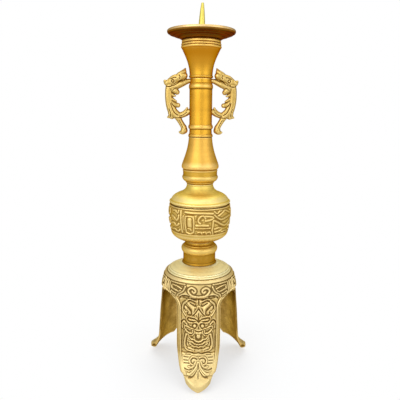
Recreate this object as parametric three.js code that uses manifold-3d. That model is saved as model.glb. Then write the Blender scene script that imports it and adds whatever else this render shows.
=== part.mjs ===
// A pricket candlestick in cast and turned brass.
// A flared bell with three tongue-shaped legs carries a column of cast and turned sections, each with a
// spigot that enters the core of the section below. A tie rod clamps the column. A loose drip pan lies on
// the mouth of the trumpet, and the pricket that takes the candle is screwed on the end of the rod.
// Millimetres, +Z up, origin on the axis at floor level, one leg towards -Y and the handles along X.
import * as THREE from 'three';
import { mergeVertices } from 'three/addons/utils/BufferGeometryUtils.js';
import Module from 'manifold-3d';

const wasm = await Module();
wasm.setup();

// Fits
const seatGap = 0.3; // between two faces that rest on each other
const fitClearance = 0.3; // round a spigot, a tenon or the foot of the pricket
const rodClearance = 0.5; // round the tie rod

// Tripod base: seat, plate, ridge and band, from the top down
const tripodHeight = 126.2;
const seatRadius = 19.6;
const plateSlopeWidth = 15;
const plateFall = 6.8;
const plateEdge = 1.7;
const grooveWidth = 1.2;
const ridgeWidth = 2.4;
const bandLean = 3.0;
const bandHeight = 16.4;
const legStep = 0.8; // how far the legs lie back under the band
const castWall = 3.5;

// Tripod base: legs, arches and toes
const legWidth = 46.4;
const legLean = 4.9; // how far a leg leans out between the band and its knee
const kneeHeight = 37;
const flareReach = 21; // from the knee to the tip of the toe
const toeHeight = 12.8;
const toeRounding = 4.4; // from the tip of the toe back to the flat that stands on the floor
const toeFlat = 3;
const toeFlatWidth = 5;
const archCornerHeight = 12.5;
const archGapBelowBand = 1.4;

// Column: the core that the spigots enter, and the tie rod
const coreRadius = 7.5;
const spigotLength = 3.5;
const rodRadius = 4;
const nutHeight = 6.4;
const nutAcrossFlats = 13;
const washerRadius = 12;
const washerThickness = 2;
const rodEndBelowNut = 3;

// Base collar
const collarHeight = 24.4;
const collarRadius = 18.4;
const flangeStandOut = 2.2;
const drumFootRadius = 15.2;

// Drum and its cap
const drumHeight = 42.9;
const drumRadius = 35.1;
const drumRimRadius = 33.1;
const drumWall = 3.6;
const capHeight = 22.8;
const capBead = 1.0;
const capNeckRadius = 14.7;

// Stem collar
const stemCollarHeight = 15.9;
const stemCollarRadius = 18.9;
const stemCollarBead = 1.1;

// Lower stem
const lowerStemHeight = 34.5;
const lowerStemBelly = 20.6;
const lowerStemTopRadius = 12.7;

// Neck, with a pair of rings at each end
const neckHeight = 61.4;
const neckRadius = 12.3;
const lowerRingPitch = 9.4;
const upperRingPitch = 8.2;
const ringStandOut = 1.1;
const upperBandRadius = 11.4;

// Trumpet
const trumpetHeight = 38.8;
const trumpetWaist = 12.5;
const mouthRadius = 20.2;
const mouthWall = 3;
const bandPitch = 3.0; // of the three turned bands round the mouth
const bridgeDepth = 11; // from the mouth down to the ledge of the bridge washer
const bridgeThickness = 3;

// Drip pan
const panRadius = 36;
const panHeight = 9.2;
const panLipHeight = 4.2;
const panLipWidth = 2;
const panFloor = 2.2;
const panSeatRadius = 21.3;

// Pricket
const prickFootRadius = 6;
const prickFootProud = 2; // above the floor of the pan
const spikeLength = 32.5;
const spikeRadius = 3.7;
const spikeTipRadius = 0.3;

// Handles
const handleThickness = 8;
const tenonRadius = 2.2;
const tenonLength = 2;
const upperTenonHeight = 58.4; // above the foot of the neck
const lowerTenonHeight = 27.2;

// Faceting
const roundSides = 20;
const wideSides = 36;
const curveSteps = 3;
const limbSides = 6;
const stepsPerPoint = 2;

const castGold = { color: 0xcfb45e, roughness: 0.42, metalness: 1 };
const turnedGold = { color: 0xd09c33, roughness: 0.28, metalness: 1 };
const paleBrass = { color: 0xe6cf68, roughness: 0.3, metalness: 1 };
const steel = { color: 0x8d8a80, roughness: 0.5, metalness: 1 };

// A closed geometry of shared vertices, with its faces pointing outwards.
function closed(geometry) {
  const bare = geometry.clone();
  bare.deleteAttribute('normal');
  bare.deleteAttribute('uv');
  const merged = mergeVertices(bare, 1e-4);
  const position = merged.attributes.position;
  const faces = [];
  const [a, b, c] = [new THREE.Vector3(), new THREE.Vector3(), new THREE.Vector3()];
  let volume = 0;
  for (let i = 0; i < merged.index.count; i += 3) {
    const face = [0, 1, 2].map((k) => merged.index.getX(i + k));
    if (new Set(face).size < 3) continue;
    a.fromBufferAttribute(position, face[0]);
    b.fromBufferAttribute(position, face[1]);
    c.fromBufferAttribute(position, face[2]);
    volume += a.dot(b.cross(c));
    faces.push(face);
  }
  merged.setIndex(faces.flatMap((face) => (volume < 0 ? face.reverse() : face)));
  return merged;
}

function solidOf(geometry) {
  const mesh = closed(geometry);
  return new wasm.Manifold(new wasm.Mesh({
    numProp: 3,
    vertProperties: mesh.attributes.position.array,
    triVerts: new Uint32Array(mesh.index.array),
  }));
}

function geometryOf(solid) {
  const mesh = solid.getMesh();
  const geometry = new THREE.BufferGeometry();
  geometry.setAttribute('position', new THREE.BufferAttribute(mesh.vertProperties, 3));
  geometry.setIndex(new THREE.BufferAttribute(mesh.triVerts, 1));
  return geometry;
}

const joined = (first, ...rest) => rest.reduce((whole, next) => whole.add(next), first);

// The points of a path that draw() draws on, radius first and height second.
function outline(draw, steps = curveSteps) {
  const path = new THREE.Path();
  draw(path);
  return path.getPoints(steps);
}

// A body turned from a closed outline that keeps clear of the axis.
function turned(points, sides = roundSides) {
  const loop = [...points, points[0].clone()];
  return new THREE.LatheGeometry(loop, sides).rotateX(Math.PI / 2);
}

// A turned section of the column: the outer outline from its foot up, then the core down to the spigot.
function section(outer, core, sides = roundSides) {
  const boreRadius = rodRadius + rodClearance;
  const spigotRadius = coreRadius - fitClearance;
  const spigot = [
    new THREE.Vector2(boreRadius, -spigotLength),
    new THREE.Vector2(spigotRadius, -spigotLength),
    new THREE.Vector2(spigotRadius, 0),
  ];
  return turned([...outer, ...core, ...spigot], sides);
}

// The core of a section with a plain bore: it narrows to the bore of the rod above the spigot.
function plainCore(height) {
  return outline((p) => {
    p.moveTo(coreRadius, height);
    p.lineTo(coreRadius, 2 * spigotLength - seatGap);
    p.lineTo(rodRadius + rodClearance, spigotLength - seatGap);
  });
}

// Heights of the seats, from the floor up
const collarSeat = tripodHeight + seatGap;
const drumSeat = collarSeat + collarHeight + seatGap;
const capSeat = drumSeat + drumHeight + seatGap;
const stemCollarSeat = capSeat + capHeight + seatGap;
const lowerStemSeat = stemCollarSeat + stemCollarHeight + seatGap;
const neckSeat = lowerStemSeat + lowerStemHeight + seatGap;
const trumpetSeat = neckSeat + neckHeight + seatGap;
const panSeat = trumpetSeat + trumpetHeight + seatGap;

// Radii of the tripod that follow one another outwards
const plateRadius = seatRadius + plateSlopeWidth;
const grooveRadius = plateRadius + plateEdge;
const ridgeRadius = grooveRadius + grooveWidth + ridgeWidth;
const bandRadius = ridgeRadius + bandLean;
const kneeRadius = bandRadius - legStep + legLean;
const toeRadius = kneeRadius + flareReach;
const padRadius = toeRadius - toeRounding;

// Heights of the tripod, from the top down
const plateEdgeHeight = tripodHeight - plateFall;
const ridgeHeight = plateEdgeHeight - plateEdge - 1.4;
const bandTop = ridgeHeight - 3;
const bandBottom = bandTop - bandHeight + 1.5;

// The outline of the bell and its flare, from the edge of the seat down the outside to the toe, and back
// up the inside one wall further in.
function bellOutline() {
  return outline((p) => {
    p.moveTo(coreRadius, tripodHeight);
    p.lineTo(seatRadius, tripodHeight);
    p.quadraticCurveTo(seatRadius + plateSlopeWidth * 0.6, tripodHeight - plateFall * 0.45,
      plateRadius, plateEdgeHeight);
    p.lineTo(grooveRadius - 0.3, plateEdgeHeight - plateEdge);
    p.lineTo(grooveRadius, ridgeHeight);
    p.lineTo(grooveRadius + grooveWidth, ridgeHeight + 0.3);
    p.quadraticCurveTo(ridgeRadius - 0.3, ridgeHeight, ridgeRadius, bandTop);
    p.quadraticCurveTo(bandRadius - 0.6, bandTop - bandHeight * 0.4, bandRadius, bandBottom);
    p.lineTo(bandRadius - legStep, bandBottom - legStep);
    p.lineTo(bandRadius - legStep + legLean * 0.55, (bandBottom + kneeHeight) / 2);
    p.lineTo(kneeRadius, kneeHeight);
    p.bezierCurveTo(kneeRadius + flareReach * 0.14, kneeHeight * 0.78,
      kneeRadius + flareReach * 0.31, kneeHeight * 0.46, padRadius - 1.3, toeHeight);
    p.quadraticCurveTo(toeRadius, toeHeight * 0.88, toeRadius, toeHeight * 0.4);
    p.quadraticCurveTo(toeRadius, 0.4, padRadius, 0);
    p.lineTo(padRadius - toeFlat, 0);
    p.lineTo(padRadius - toeFlat - 1, toeHeight * 0.6);
    p.bezierCurveTo(kneeRadius + flareReach * 0.33, kneeHeight * 0.36,
      kneeRadius - castWall * 0.15, kneeHeight * 0.68, kneeRadius - castWall, kneeHeight);
    p.lineTo(bandRadius - legStep - castWall, bandBottom);
    p.lineTo(ridgeRadius - castWall * 1.4, ridgeHeight - castWall * 1.2);
    p.lineTo(plateRadius - castWall * 0.8, plateEdgeHeight - castWall * 1.2);
    p.lineTo(seatRadius - castWall * 0.5, tripodHeight - castWall);
    p.lineTo(coreRadius, tripodHeight - castWall);
  });
}

function prism(shape, depth) {
  return new THREE.ExtrudeGeometry(shape, { depth, bevelEnabled: false, curveSegments: 8 });
}

// One leg seen in plan: straight sides that draw in to a rounded tip. X is across, -Y points along the leg.
function tongueInPlan() {
  const half = legWidth / 2;
  const tip = toeRadius + 0.5;
  const shoulder = kneeRadius - 6;
  const bend = shoulder + (tip - shoulder) * 0.38;
  const shape = new THREE.Shape();
  shape.moveTo(-half, 0);
  shape.lineTo(-half, -shoulder);
  shape.bezierCurveTo(-half * 0.95, -bend, -half * 0.48, -tip, 0, -tip);
  shape.bezierCurveTo(half * 0.48, -tip, half * 0.95, -bend, half, -shoulder);
  shape.lineTo(half, 0);
  return shape;
}

// One leg and its share of the arches, seen from the front: X is across and Y is up. The toe is round
// underneath, so that only its middle stands on the floor.
function legInFront() {
  const half = legWidth / 2;
  const crown = bandBottom - archGapBelowBand;
  const quarter = bandRadius * Math.sin(Math.PI / 3) + 0.2;
  const shape = new THREE.Shape();
  shape.moveTo(toeFlatWidth / 2, -1);
  shape.bezierCurveTo(half * 0.45, 3, half * 0.95, toeHeight, half, toeHeight * 2);
  shape.lineTo(half, crown - archCornerHeight);
  shape.bezierCurveTo(half + 0.4, crown - 4, half + 5, crown, quarter, crown);
  shape.lineTo(quarter, tripodHeight + 1);
  shape.lineTo(-quarter, tripodHeight + 1);
  shape.lineTo(-quarter, crown);
  shape.bezierCurveTo(-half - 5, crown, -half - 0.4, crown - 4, -half, crown - archCornerHeight);
  shape.lineTo(-half, toeHeight * 2);
  shape.bezierCurveTo(-half * 0.95, toeHeight, -half * 0.45, 3, -toeFlatWidth / 2, -1);
  return shape;
}

const legAngles = [0, 1, 2].map((k) => (k * 2 * Math.PI) / 3);

function tripodBase() {
  const bell = solidOf(turned(bellOutline(), wideSides));
  const reach = toeRadius + 5;
  const fronts = legAngles.map((angle) =>
    solidOf(prism(legInFront(), reach).rotateX(Math.PI / 2).rotateZ(angle)));
  const plans = legAngles.map((angle) =>
    solidOf(prism(tongueInPlan(), kneeHeight + 25).translate(0, 0, -1).rotateZ(angle)));
  const above = new THREE.CylinderGeometry(reach, reach, tripodHeight, 12);
  above.rotateX(Math.PI / 2).translate(0, 0, kneeHeight + 20 + tripodHeight / 2);
  const legs = joined(...fronts);
  const feet = joined(solidOf(above), ...plans);
  return geometryOf(bell.intersect(legs).intersect(feet));
}

function baseCollar() {
  const flange = collarRadius + flangeStandOut;
  const outer = outline((p) => {
    p.moveTo(collarRadius, 0);
    p.lineTo(collarRadius, collarHeight * 0.49);
    p.lineTo(collarRadius + 0.5, collarHeight * 0.5);
    p.quadraticCurveTo(flange, collarHeight * 0.6, flange, collarHeight * 0.69);
    p.quadraticCurveTo(flange - 0.3, collarHeight * 0.76, collarRadius + 0.2, collarHeight * 0.83);
    p.lineTo(collarRadius - 0.6, collarHeight * 0.84);
    p.lineTo(collarRadius - 0.8, collarHeight * 0.88);
    p.quadraticCurveTo(drumFootRadius, collarHeight * 0.93, drumFootRadius, collarHeight);
  });
  return section(outer, plainCore(collarHeight));
}

function drum() {
  const cavity = drumRadius - drumWall;
  const mouth = drumRimRadius - drumWall - 2;
  const outer = outline((p) => {
    p.moveTo(drumFootRadius, 0);
    p.lineTo(drumFootRadius + 0.3, 0.8);
    p.quadraticCurveTo(drumRadius * 0.85, drumHeight * 0.12, drumRadius * 0.91, drumHeight * 0.26);
    p.quadraticCurveTo(drumRadius, drumHeight * 0.56, drumRadius, drumHeight * 0.74);
    p.quadraticCurveTo(drumRadius, drumHeight * 0.88, drumRimRadius, drumHeight * 0.96);
    p.lineTo(drumRimRadius, drumHeight);
  });
  const core = outline((p) => {
    p.moveTo(mouth, drumHeight);
    p.lineTo(mouth, drumHeight - spigotLength - 1);
    p.lineTo(cavity, drumHeight * 0.72);
    p.lineTo(cavity * 0.95, drumHeight * 0.36);
    p.lineTo(drumFootRadius + 3, drumWall + 3.4);
    p.lineTo(rodRadius + rodClearance, drumWall);
  });
  return section(outer, core, wideSides);
}

// The lid of the drum has a wide spigot of its own, which enters the drum's mouth.
function drumCap() {
  const lidSpigot = drumRimRadius - drumWall - 2 - fitClearance;
  return turned(outline((p) => {
    p.moveTo(lidSpigot, -spigotLength);
    p.lineTo(lidSpigot, 0);
    p.lineTo(drumRimRadius, 0);
    p.quadraticCurveTo(drumRimRadius + capBead * 1.6, capHeight * 0.1,
      drumRimRadius + capBead * 0.4, capHeight * 0.18);
    p.lineTo(drumRimRadius - capBead * 0.6, capHeight * 0.21);
    p.bezierCurveTo(drumRimRadius - 3, capHeight * 0.42, capNeckRadius + 3, capHeight * 0.6,
      capNeckRadius + 0.4, capHeight * 0.84);
    p.lineTo(capNeckRadius, capHeight * 0.9);
    p.lineTo(capNeckRadius, capHeight);
    p.lineTo(coreRadius, capHeight);
    p.lineTo(coreRadius, capHeight * 0.62);
    p.lineTo(lidSpigot * 0.6, capHeight * 0.34);
    p.lineTo(lidSpigot - drumWall, capHeight * 0.08);
    p.lineTo(lidSpigot - drumWall, -spigotLength);
  }), wideSides);
}

function stemCollar() {
  const bead = stemCollarRadius + stemCollarBead;
  const outer = outline((p) => {
    p.moveTo(capNeckRadius, 0);
    p.lineTo(capNeckRadius + 1.2, stemCollarHeight * 0.08);
    p.lineTo(capNeckRadius + 1.2, stemCollarHeight * 0.14);
    p.quadraticCurveTo(stemCollarRadius - 1, stemCollarHeight * 0.2,
      stemCollarRadius + 0.2, stemCollarHeight * 0.32);
    p.quadraticCurveTo(bead + 0.4, stemCollarHeight * 0.42,
      stemCollarRadius + 0.5, stemCollarHeight * 0.55);
    p.lineTo(stemCollarRadius, stemCollarHeight * 0.59);
    p.lineTo(stemCollarRadius, stemCollarHeight * 0.86);
    p.lineTo(stemCollarRadius + 0.5, stemCollarHeight * 0.92);
    p.lineTo(stemCollarRadius - 0.3, stemCollarHeight);
  });
  return section(outer, plainCore(stemCollarHeight));
}

function lowerStem() {
  const outer = outline((p) => {
    p.moveTo(lowerStemBelly - 1.6, 0);
    p.quadraticCurveTo(lowerStemBelly + 0.4, lowerStemHeight * 0.02,
      lowerStemBelly - 0.2, lowerStemHeight * 0.12);
    p.bezierCurveTo(lowerStemBelly - 2.2, lowerStemHeight * 0.32, lowerStemTopRadius + 1,
      lowerStemHeight * 0.58, lowerStemTopRadius, lowerStemHeight);
  });
  return section(outer, plainCore(lowerStemHeight));
}

// The neck from its foot up. The upper ring pair mirrors the lower: its band is the seat of the jaws.
function neckOutline(grow = 0) {
  const r = neckRadius + grow;
  const ring = r + ringStandOut;
  const band = upperBandRadius + grow;
  const secondRing = lowerRingPitch;
  const upperRing = neckHeight - upperRingPitch;
  return outline((p) => {
    p.moveTo(r + 0.6, 0);
    p.lineTo(ring, 1.2);
    p.lineTo(r, 3.6);
    p.lineTo(r - 0.2, secondRing - 0.8);
    p.lineTo(ring - 0.1, secondRing + 0.2);
    p.lineTo(ring, secondRing + 1.4);
    p.lineTo(r, secondRing + 4);
    p.lineTo(r, upperRing - 3);
    p.lineTo(r + ringStandOut * 0.6, upperRing - 0.8);
    p.lineTo(r + ringStandOut * 0.6, upperRing + 0.4);
    p.lineTo(band, upperRing + 3.8);
    p.lineTo(band, neckHeight);
  });
}

// A tenon of a handle, or its hole in the neck: a short rod along X that starts inside the neck.
function tenon(radius, from, to, height) {
  const rod = new THREE.CylinderGeometry(radius, radius, to - from, 12);
  return solidOf(rod.rotateZ(Math.PI / 2).translate((from + to) / 2, 0, height));
}

const holeDepth = tenonLength + fitClearance;

function neck() {
  let body = solidOf(section(neckOutline(), plainCore(neckHeight)));
  for (const side of [1, -1]) {
    const seats = [[upperBandRadius, upperTenonHeight], [neckRadius, lowerTenonHeight]];
    for (const [seat, height] of seats) {
      const hole = tenon(tenonRadius + fitClearance, seat - holeDepth, seat + 3, height);
      body = body.subtract(side > 0 ? hole : hole.rotate([0, 0, 180]));
    }
  }
  return geometryOf(body);
}

function trumpet() {
  const bandsFoot = trumpetHeight - 3 * bandPitch + 0.6;
  const ledge = trumpetHeight - bridgeDepth;
  const ledgeRadius = bridgeRadius() + fitClearance;
  const outer = outline((p) => {
    p.moveTo(upperBandRadius, 0);
    p.lineTo(trumpetWaist, 0.9);
    p.lineTo(trumpetWaist + 0.4, 1.8);
    p.lineTo(trumpetWaist - 0.1, 4.6);
    p.bezierCurveTo(trumpetWaist + 0.3, trumpetHeight * 0.42, mouthRadius - 4, trumpetHeight * 0.56,
      mouthRadius - 0.6, bandsFoot - 0.4);
    for (let k = 0; k < 3; k += 1) {
      const foot = bandsFoot + k * bandPitch - (k > 0 ? 0.2 : 0);
      const swell = [0.6, 1.1, 0.5][k];
      p.lineTo(mouthRadius + swell, foot + 0.6);
      p.lineTo(mouthRadius + swell * (k === 2 ? 0.6 : 1), foot + bandPitch - 1);
      if (k < 2) p.lineTo(mouthRadius + 0.1, foot + bandPitch - 0.4);
    }
    p.lineTo(mouthRadius, trumpetHeight);
  });
  const core = outline((p) => {
    p.moveTo(mouthRadius - mouthWall, trumpetHeight);
    p.lineTo(ledgeRadius, trumpetHeight - 3);
    p.lineTo(ledgeRadius, ledge);
    p.lineTo(ledgeRadius - 2.5, ledge);
    p.lineTo(coreRadius, ledge - 9);
    p.lineTo(coreRadius, 2 * spigotLength - seatGap);
    p.lineTo(rodRadius + rodClearance, spigotLength - seatGap);
  });
  return section(outer, core);
}

// The bridge washer lies on a ledge inside the trumpet, where the flare leaves room for it.
function bridgeRadius() {
  return mouthRadius - mouthWall - 3.4;
}

function dripPan() {
  const lipInner = panRadius - panLipWidth;
  const lipFoot = panHeight - panLipHeight;
  const bore = prickFootRadius + fitClearance;
  return turned(outline((p) => {
    p.moveTo(bore, 0);
    p.lineTo(panSeatRadius, 0);
    p.lineTo(panSeatRadius + 3.2, lipFoot * 0.36);
    p.lineTo(panSeatRadius + 3.4, lipFoot * 0.46);
    p.lineTo(panSeatRadius + 7.8, lipFoot * 0.62);
    p.lineTo(panSeatRadius + 8, lipFoot * 0.72);
    p.lineTo(lipInner - 0.2, lipFoot * 0.9);
    p.lineTo(lipInner + 0.2, lipFoot);
    p.quadraticCurveTo(panRadius, lipFoot, panRadius, lipFoot + panLipHeight * 0.45);
    p.quadraticCurveTo(panRadius, panHeight, panRadius - panLipWidth * 0.5, panHeight);
    p.lineTo(lipInner, panHeight - 0.4);
    p.quadraticCurveTo(lipInner - 1.5, lipFoot + 0.8, panSeatRadius + 8, panFloor + lipFoot * 0.5);
    p.lineTo(panSeatRadius, panFloor);
    p.lineTo(bore, panFloor);
  }, 2), wideSides);
}

// Heights inside the trumpet, from the bridge washer up
const bridgeSeat = trumpetSeat + trumpetHeight - bridgeDepth + seatGap;
const topNutSeat = bridgeSeat + bridgeThickness + seatGap;
const prickSeat = topNutSeat + nutHeight + seatGap;
const socketDepth = 5;
const prickShoulder = panSeat + panFloor + prickFootProud;

function pricket() {
  const socket = rodRadius + fitClearance;
  const foot = prickShoulder - prickSeat;
  return new THREE.LatheGeometry(outline((p) => {
    p.moveTo(0, socketDepth + 1.5);
    p.lineTo(socket, socketDepth);
    p.lineTo(socket, 0);
    p.lineTo(prickFootRadius, 0);
    p.lineTo(prickFootRadius, foot - 0.6);
    p.lineTo(prickFootRadius - 0.6, foot);
    p.lineTo(spikeRadius, foot);
    p.quadraticCurveTo(spikeRadius * 0.86, foot + spikeLength * 0.56,
      spikeTipRadius, foot + spikeLength);
    p.lineTo(0, foot + spikeLength);
  }), 16).rotateX(Math.PI / 2);
}

function washer(radius, thickness) {
  const bore = rodRadius + fitClearance;
  return turned(outline((p) => {
    p.moveTo(bore, 0);
    p.lineTo(radius, 0);
    p.lineTo(radius, thickness);
    p.lineTo(bore, thickness);
  }));
}

function hexNut() {
  const cornerRadius = nutAcrossFlats / Math.sqrt(3);
  const shape = new THREE.Shape();
  for (let k = 0; k < 6; k += 1) {
    const angle = (k * Math.PI) / 3;
    shape[k ? 'lineTo' : 'moveTo'](cornerRadius * Math.cos(angle), cornerRadius * Math.sin(angle));
  }
  shape.holes.push(new THREE.Path().absarc(0, 0, rodRadius + fitClearance, 0, 2 * Math.PI, true));
  return new THREE.ExtrudeGeometry(shape, { depth: nutHeight, bevelEnabled: false, curveSegments: 8 });
}

const footWasherSeat = tripodHeight - castWall - seatGap - washerThickness;
const footNutSeat = footWasherSeat - seatGap - nutHeight;
const rodFoot = footNutSeat - rodEndBelowNut;
const rodTop = prickSeat + socketDepth - fitClearance;

// A limb of a dragon: an oval swept along a smooth line in the plane of the handle, with rounded ends.
// Each point is [out from the tube of the neck, up from the middle of the jaws, half-width].
function limb(points) {
  const seat = new THREE.Vector3(neckRadius, upperTenonHeight, 0);
  const line = new THREE.CatmullRomCurve3(points.map((q) => new THREE.Vector3(...q).add(seat)));
  const steps = (points.length - 1) * stepsPerPoint;
  const rings = [];
  for (let i = -1; i <= steps + 1; i += 1) {
    const t = Math.min(Math.max(i / steps, 0), 1);
    const at = line.getPoint(t);
    const way = line.getTangent(t);
    const beyond = i < 0 ? -1 : Number(i > steps);
    const along = new THREE.Vector2(way.x, way.y).normalize();
    rings.push({
      x: at.x + along.x * beyond * at.z * 0.6,
      z: at.y + along.y * beyond * at.z * 0.6,
      along,
      half: at.z * (beyond ? 0.55 : 1),
      thick: Math.min(handleThickness / 2, at.z * 1.3) * (beyond ? 0.6 : 1),
    });
  }
  const positions = [];
  for (const { x, z, along, half, thick } of rings) {
    for (let k = 0; k < limbSides; k += 1) {
      const angle = ((k + 0.5) / limbSides) * 2 * Math.PI;
      const side = Math.cos(angle) * half;
      positions.push(x - along.y * side, Math.sin(angle) * thick, z + along.x * side);
    }
  }
  const faces = [];
  for (let i = 0; i < rings.length - 1; i += 1) {
    for (let k = 0; k < limbSides; k += 1) {
      const next = (k + 1) % limbSides;
      const [a, b] = [i * limbSides + k, i * limbSides + next];
      const [c, d] = [a + limbSides, b + limbSides];
      faces.push(a, b, d, a, d, c);
    }
  }
  const last = (rings.length - 1) * limbSides;
  for (let k = 1; k < limbSides - 1; k += 1) {
    faces.push(0, k + 1, k, last, last + k, last + k + 1);
  }
  const geometry = new THREE.BufferGeometry();
  geometry.setAttribute('position', new THREE.Float32BufferAttribute(positions, 3));
  geometry.setIndex(faces);
  return solidOf(geometry);
}

// The parts of a dragon that bites the band at the top of the neck and sets its claw on the tube below.
const dragonLimbs = {
  body: [[18.5, -2.5, 3.0], [21.4, -9, 3.5], [22.6, -17, 3.6], [21.4, -26, 3.8], [17.5, -33, 4.2],
    [12, -37, 3.4]],
  upperJaw: [[18.6, -0.8, 4.0], [12.5, 2.8, 4.4], [7, 5.8, 3.4], [4.2, 9.5, 2.0], [3.2, 12.4, 0.7]],
  lowerJaw: [[19.5, -4, 3.2], [13.5, -4.6, 3.2], [8.5, -2.4, 2.6], [3.5, -0.4, 2.3], [-2.6, 0, 2.2]],
  beard: [[15, -4.5, 3.2], [13.8, -8.2, 3.3], [12.4, -10.6, 2.2]],
  horn: [[17, -0.5, 3.2], [22, -3, 3.0], [25, -1.6, 2.0], [26.2, 1, 0.8]],
  elbowFin: [[19, -30, 4.0], [19.8, -34, 3.6], [19.4, -37.2, 3.0]],
  backScale: [[19.6, -15, 2.4], [17.6, -16.6, 1.6]],
  maneLock: [[18.6, -22.5, 3.0], [14.6, -24, 2.8], [12.6, -24.6, 2.2]],
  foreleg: [[17.5, -26, 2.4], [13.5, -32.4, 2.6], [8.2, -35, 2.6], [3.4, -32, 2.2], [1.2, -28, 1.0]],
  claw: [[9, -36.4, 2.6], [3, -34.4, 2.4], [-3, -31.2, 2.2]],
  tail: [[12.6, -35.5, 3.2], [8.4, -42, 3.3], [5.6, -48, 3.2], [6.2, -54.5, 3.9]],
};

function dragon() {
  const limbs = Object.values(dragonLimbs).map(limb);
  const clearOfNeck = outlineAsSolid(neckOutline(seatGap));
  const tenons = [[upperBandRadius, upperTenonHeight], [neckRadius, lowerTenonHeight]].map(
    ([seat, height]) => tenon(tenonRadius, seat - tenonLength, seat + 5, height));
  return geometryOf(joined(joined(...limbs).subtract(clearOfNeck), ...tenons));
}

// The solid inside an outline of revolution, from the axis out.
function outlineAsSolid(points) {
  const loop = [new THREE.Vector2(0, points[0].y), ...points, new THREE.Vector2(0, points.at(-1).y)];
  return solidOf(new THREE.LatheGeometry(loop, roundSides).rotateX(Math.PI / 2));
}

const candlestick = new THREE.Group();

function place(name, geometry, finish, height = 0, parent = candlestick) {
  const mesh = new THREE.Mesh(closed(geometry), new THREE.MeshStandardMaterial(finish));
  mesh.name = name;
  mesh.position.z = height;
  parent.add(mesh);
}

place('tripod_base', tripodBase(), castGold);
place('base_collar', baseCollar(), turnedGold, collarSeat);
place('drum', drum(), castGold, drumSeat);
place('drum_cap', drumCap(), turnedGold, capSeat);
place('stem_collar', stemCollar(), turnedGold, stemCollarSeat);
place('lower_stem', lowerStem(), turnedGold, lowerStemSeat);
place('neck', neck(), turnedGold, neckSeat);
place('trumpet', trumpet(), turnedGold, trumpetSeat);

place('foot_nut', hexNut(), steel, footNutSeat);
place('foot_washer', washer(washerRadius, washerThickness), steel, footWasherSeat);
const rod = new THREE.CylinderGeometry(rodRadius, rodRadius, rodTop - rodFoot, 16);
place('tie_rod', rod.rotateX(Math.PI / 2).translate(0, 0, (rodTop - rodFoot) / 2), steel, rodFoot);
place('bridge_washer', washer(bridgeRadius(), bridgeThickness), steel, bridgeSeat);
place('top_nut', hexNut(), steel, topNutSeat);

place('pricket', pricket(), paleBrass, prickSeat);
place('drip_pan', dripPan(), turnedGold, panSeat);

const handles = new THREE.Group();
handles.position.z = neckSeat;
candlestick.add(handles);
for (const [name, turn] of [['right_handle', 0], ['left_handle', Math.PI]]) {
  const side = new THREE.Group();
  side.rotation.z = turn;
  handles.add(side);
  place(name, dragon(), castGold, 0, side);
}

export default candlestick;
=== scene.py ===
# %% [markdown]
# # A brass pricket candlestick
# The real thing is about 40 cm tall: a bell cut into three tongue-shaped legs, each with a beast mask, a
# column of turned and cast sections, two dragons that serve as handles, and a shallow pan under the spike
# that holds the candle.
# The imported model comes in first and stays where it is. It gives the sizes, and every piece made here sits
# in the place of one of its nodes. All sizes below are millimetres on the object, turned into Blender's
# metres at the last moment, because a maker thinks of a candlestick in millimetres.

# %% Load the frame
import math
import bmesh
import bpy
import numpy as np
from mathutils import Matrix, Vector


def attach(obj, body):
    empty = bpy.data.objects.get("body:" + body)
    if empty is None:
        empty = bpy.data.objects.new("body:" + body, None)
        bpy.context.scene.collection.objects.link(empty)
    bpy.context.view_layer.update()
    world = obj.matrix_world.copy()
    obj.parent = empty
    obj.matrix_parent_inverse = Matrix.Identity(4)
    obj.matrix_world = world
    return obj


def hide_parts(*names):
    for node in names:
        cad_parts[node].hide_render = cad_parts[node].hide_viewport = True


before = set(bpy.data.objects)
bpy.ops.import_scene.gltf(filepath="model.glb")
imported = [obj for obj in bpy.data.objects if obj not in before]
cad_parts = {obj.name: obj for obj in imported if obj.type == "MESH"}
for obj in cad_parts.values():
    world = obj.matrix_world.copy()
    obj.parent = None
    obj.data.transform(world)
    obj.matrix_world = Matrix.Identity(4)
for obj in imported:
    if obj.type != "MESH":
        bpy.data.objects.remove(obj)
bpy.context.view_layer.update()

MM = 0.001

# %% [markdown]
# ## Camera
# The picture was taken from a little above the middle of the column, half a metre away, with the camera
# tipped down and turned by half a degree, so that the column leans very slightly. The place comes from
# fitting the rims of the pan and drum and the three toes. The lens keeps Blender's 36 mm sensor.

# %% Place the camera
camera = bpy.data.objects.new("camera", bpy.data.cameras.new("camera"))
bpy.context.scene.collection.objects.link(camera)
tipped_down = math.radians(11.4)
turned_by = math.radians(0.58)
camera.matrix_world = (
    Matrix.Translation((0.0, -0.4901, 0.2953))
    @ Matrix.Rotation(math.pi / 2 - tipped_down, 4, "X")
    @ Matrix.Rotation(turned_by, 4, "Z")
)
camera.data.lens = 40.0
camera.data.shift_x = 0.0005
camera.data.shift_y = 0.0035
camera.data.clip_start = 0.01
bpy.context.scene.camera = camera
print("camera at", [round(v, 3) for v in camera.location], "with a", camera.data.lens, "mm lens")

# %% [markdown]
# ## Floor, light and background
# Brass shows what is round it, so the room matters as much as the metal. The floor is a pale board that
# keeps the shadow of the toes and runs out to white further off. Three large soft lamps stand to the left,
# to the right and overhead. The world is white for the eye. To the metal it is bright on the viewer's side
# and dimmer behind the object, because the rim of a round form mirrors what lies behind it. In a room that
# is white all round, a polished ring would lose its shape.

# %% Helpers for node trees
WHITE = (1, 1, 1, 1)


def add_node(tree, kind, feeds=(), **settings):
    """Adds a node. Each input, by name or number, is fed with a value or with another node's output."""
    node = tree.nodes.new(kind)
    for name, value in settings.items():
        setattr(node, name, value)
    for socket, feed in dict(feeds).items():
        if isinstance(feed, bpy.types.NodeSocket):
            tree.links.new(feed, node.inputs[socket])
        else:
            node.inputs[socket].default_value = feed
    return node


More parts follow.
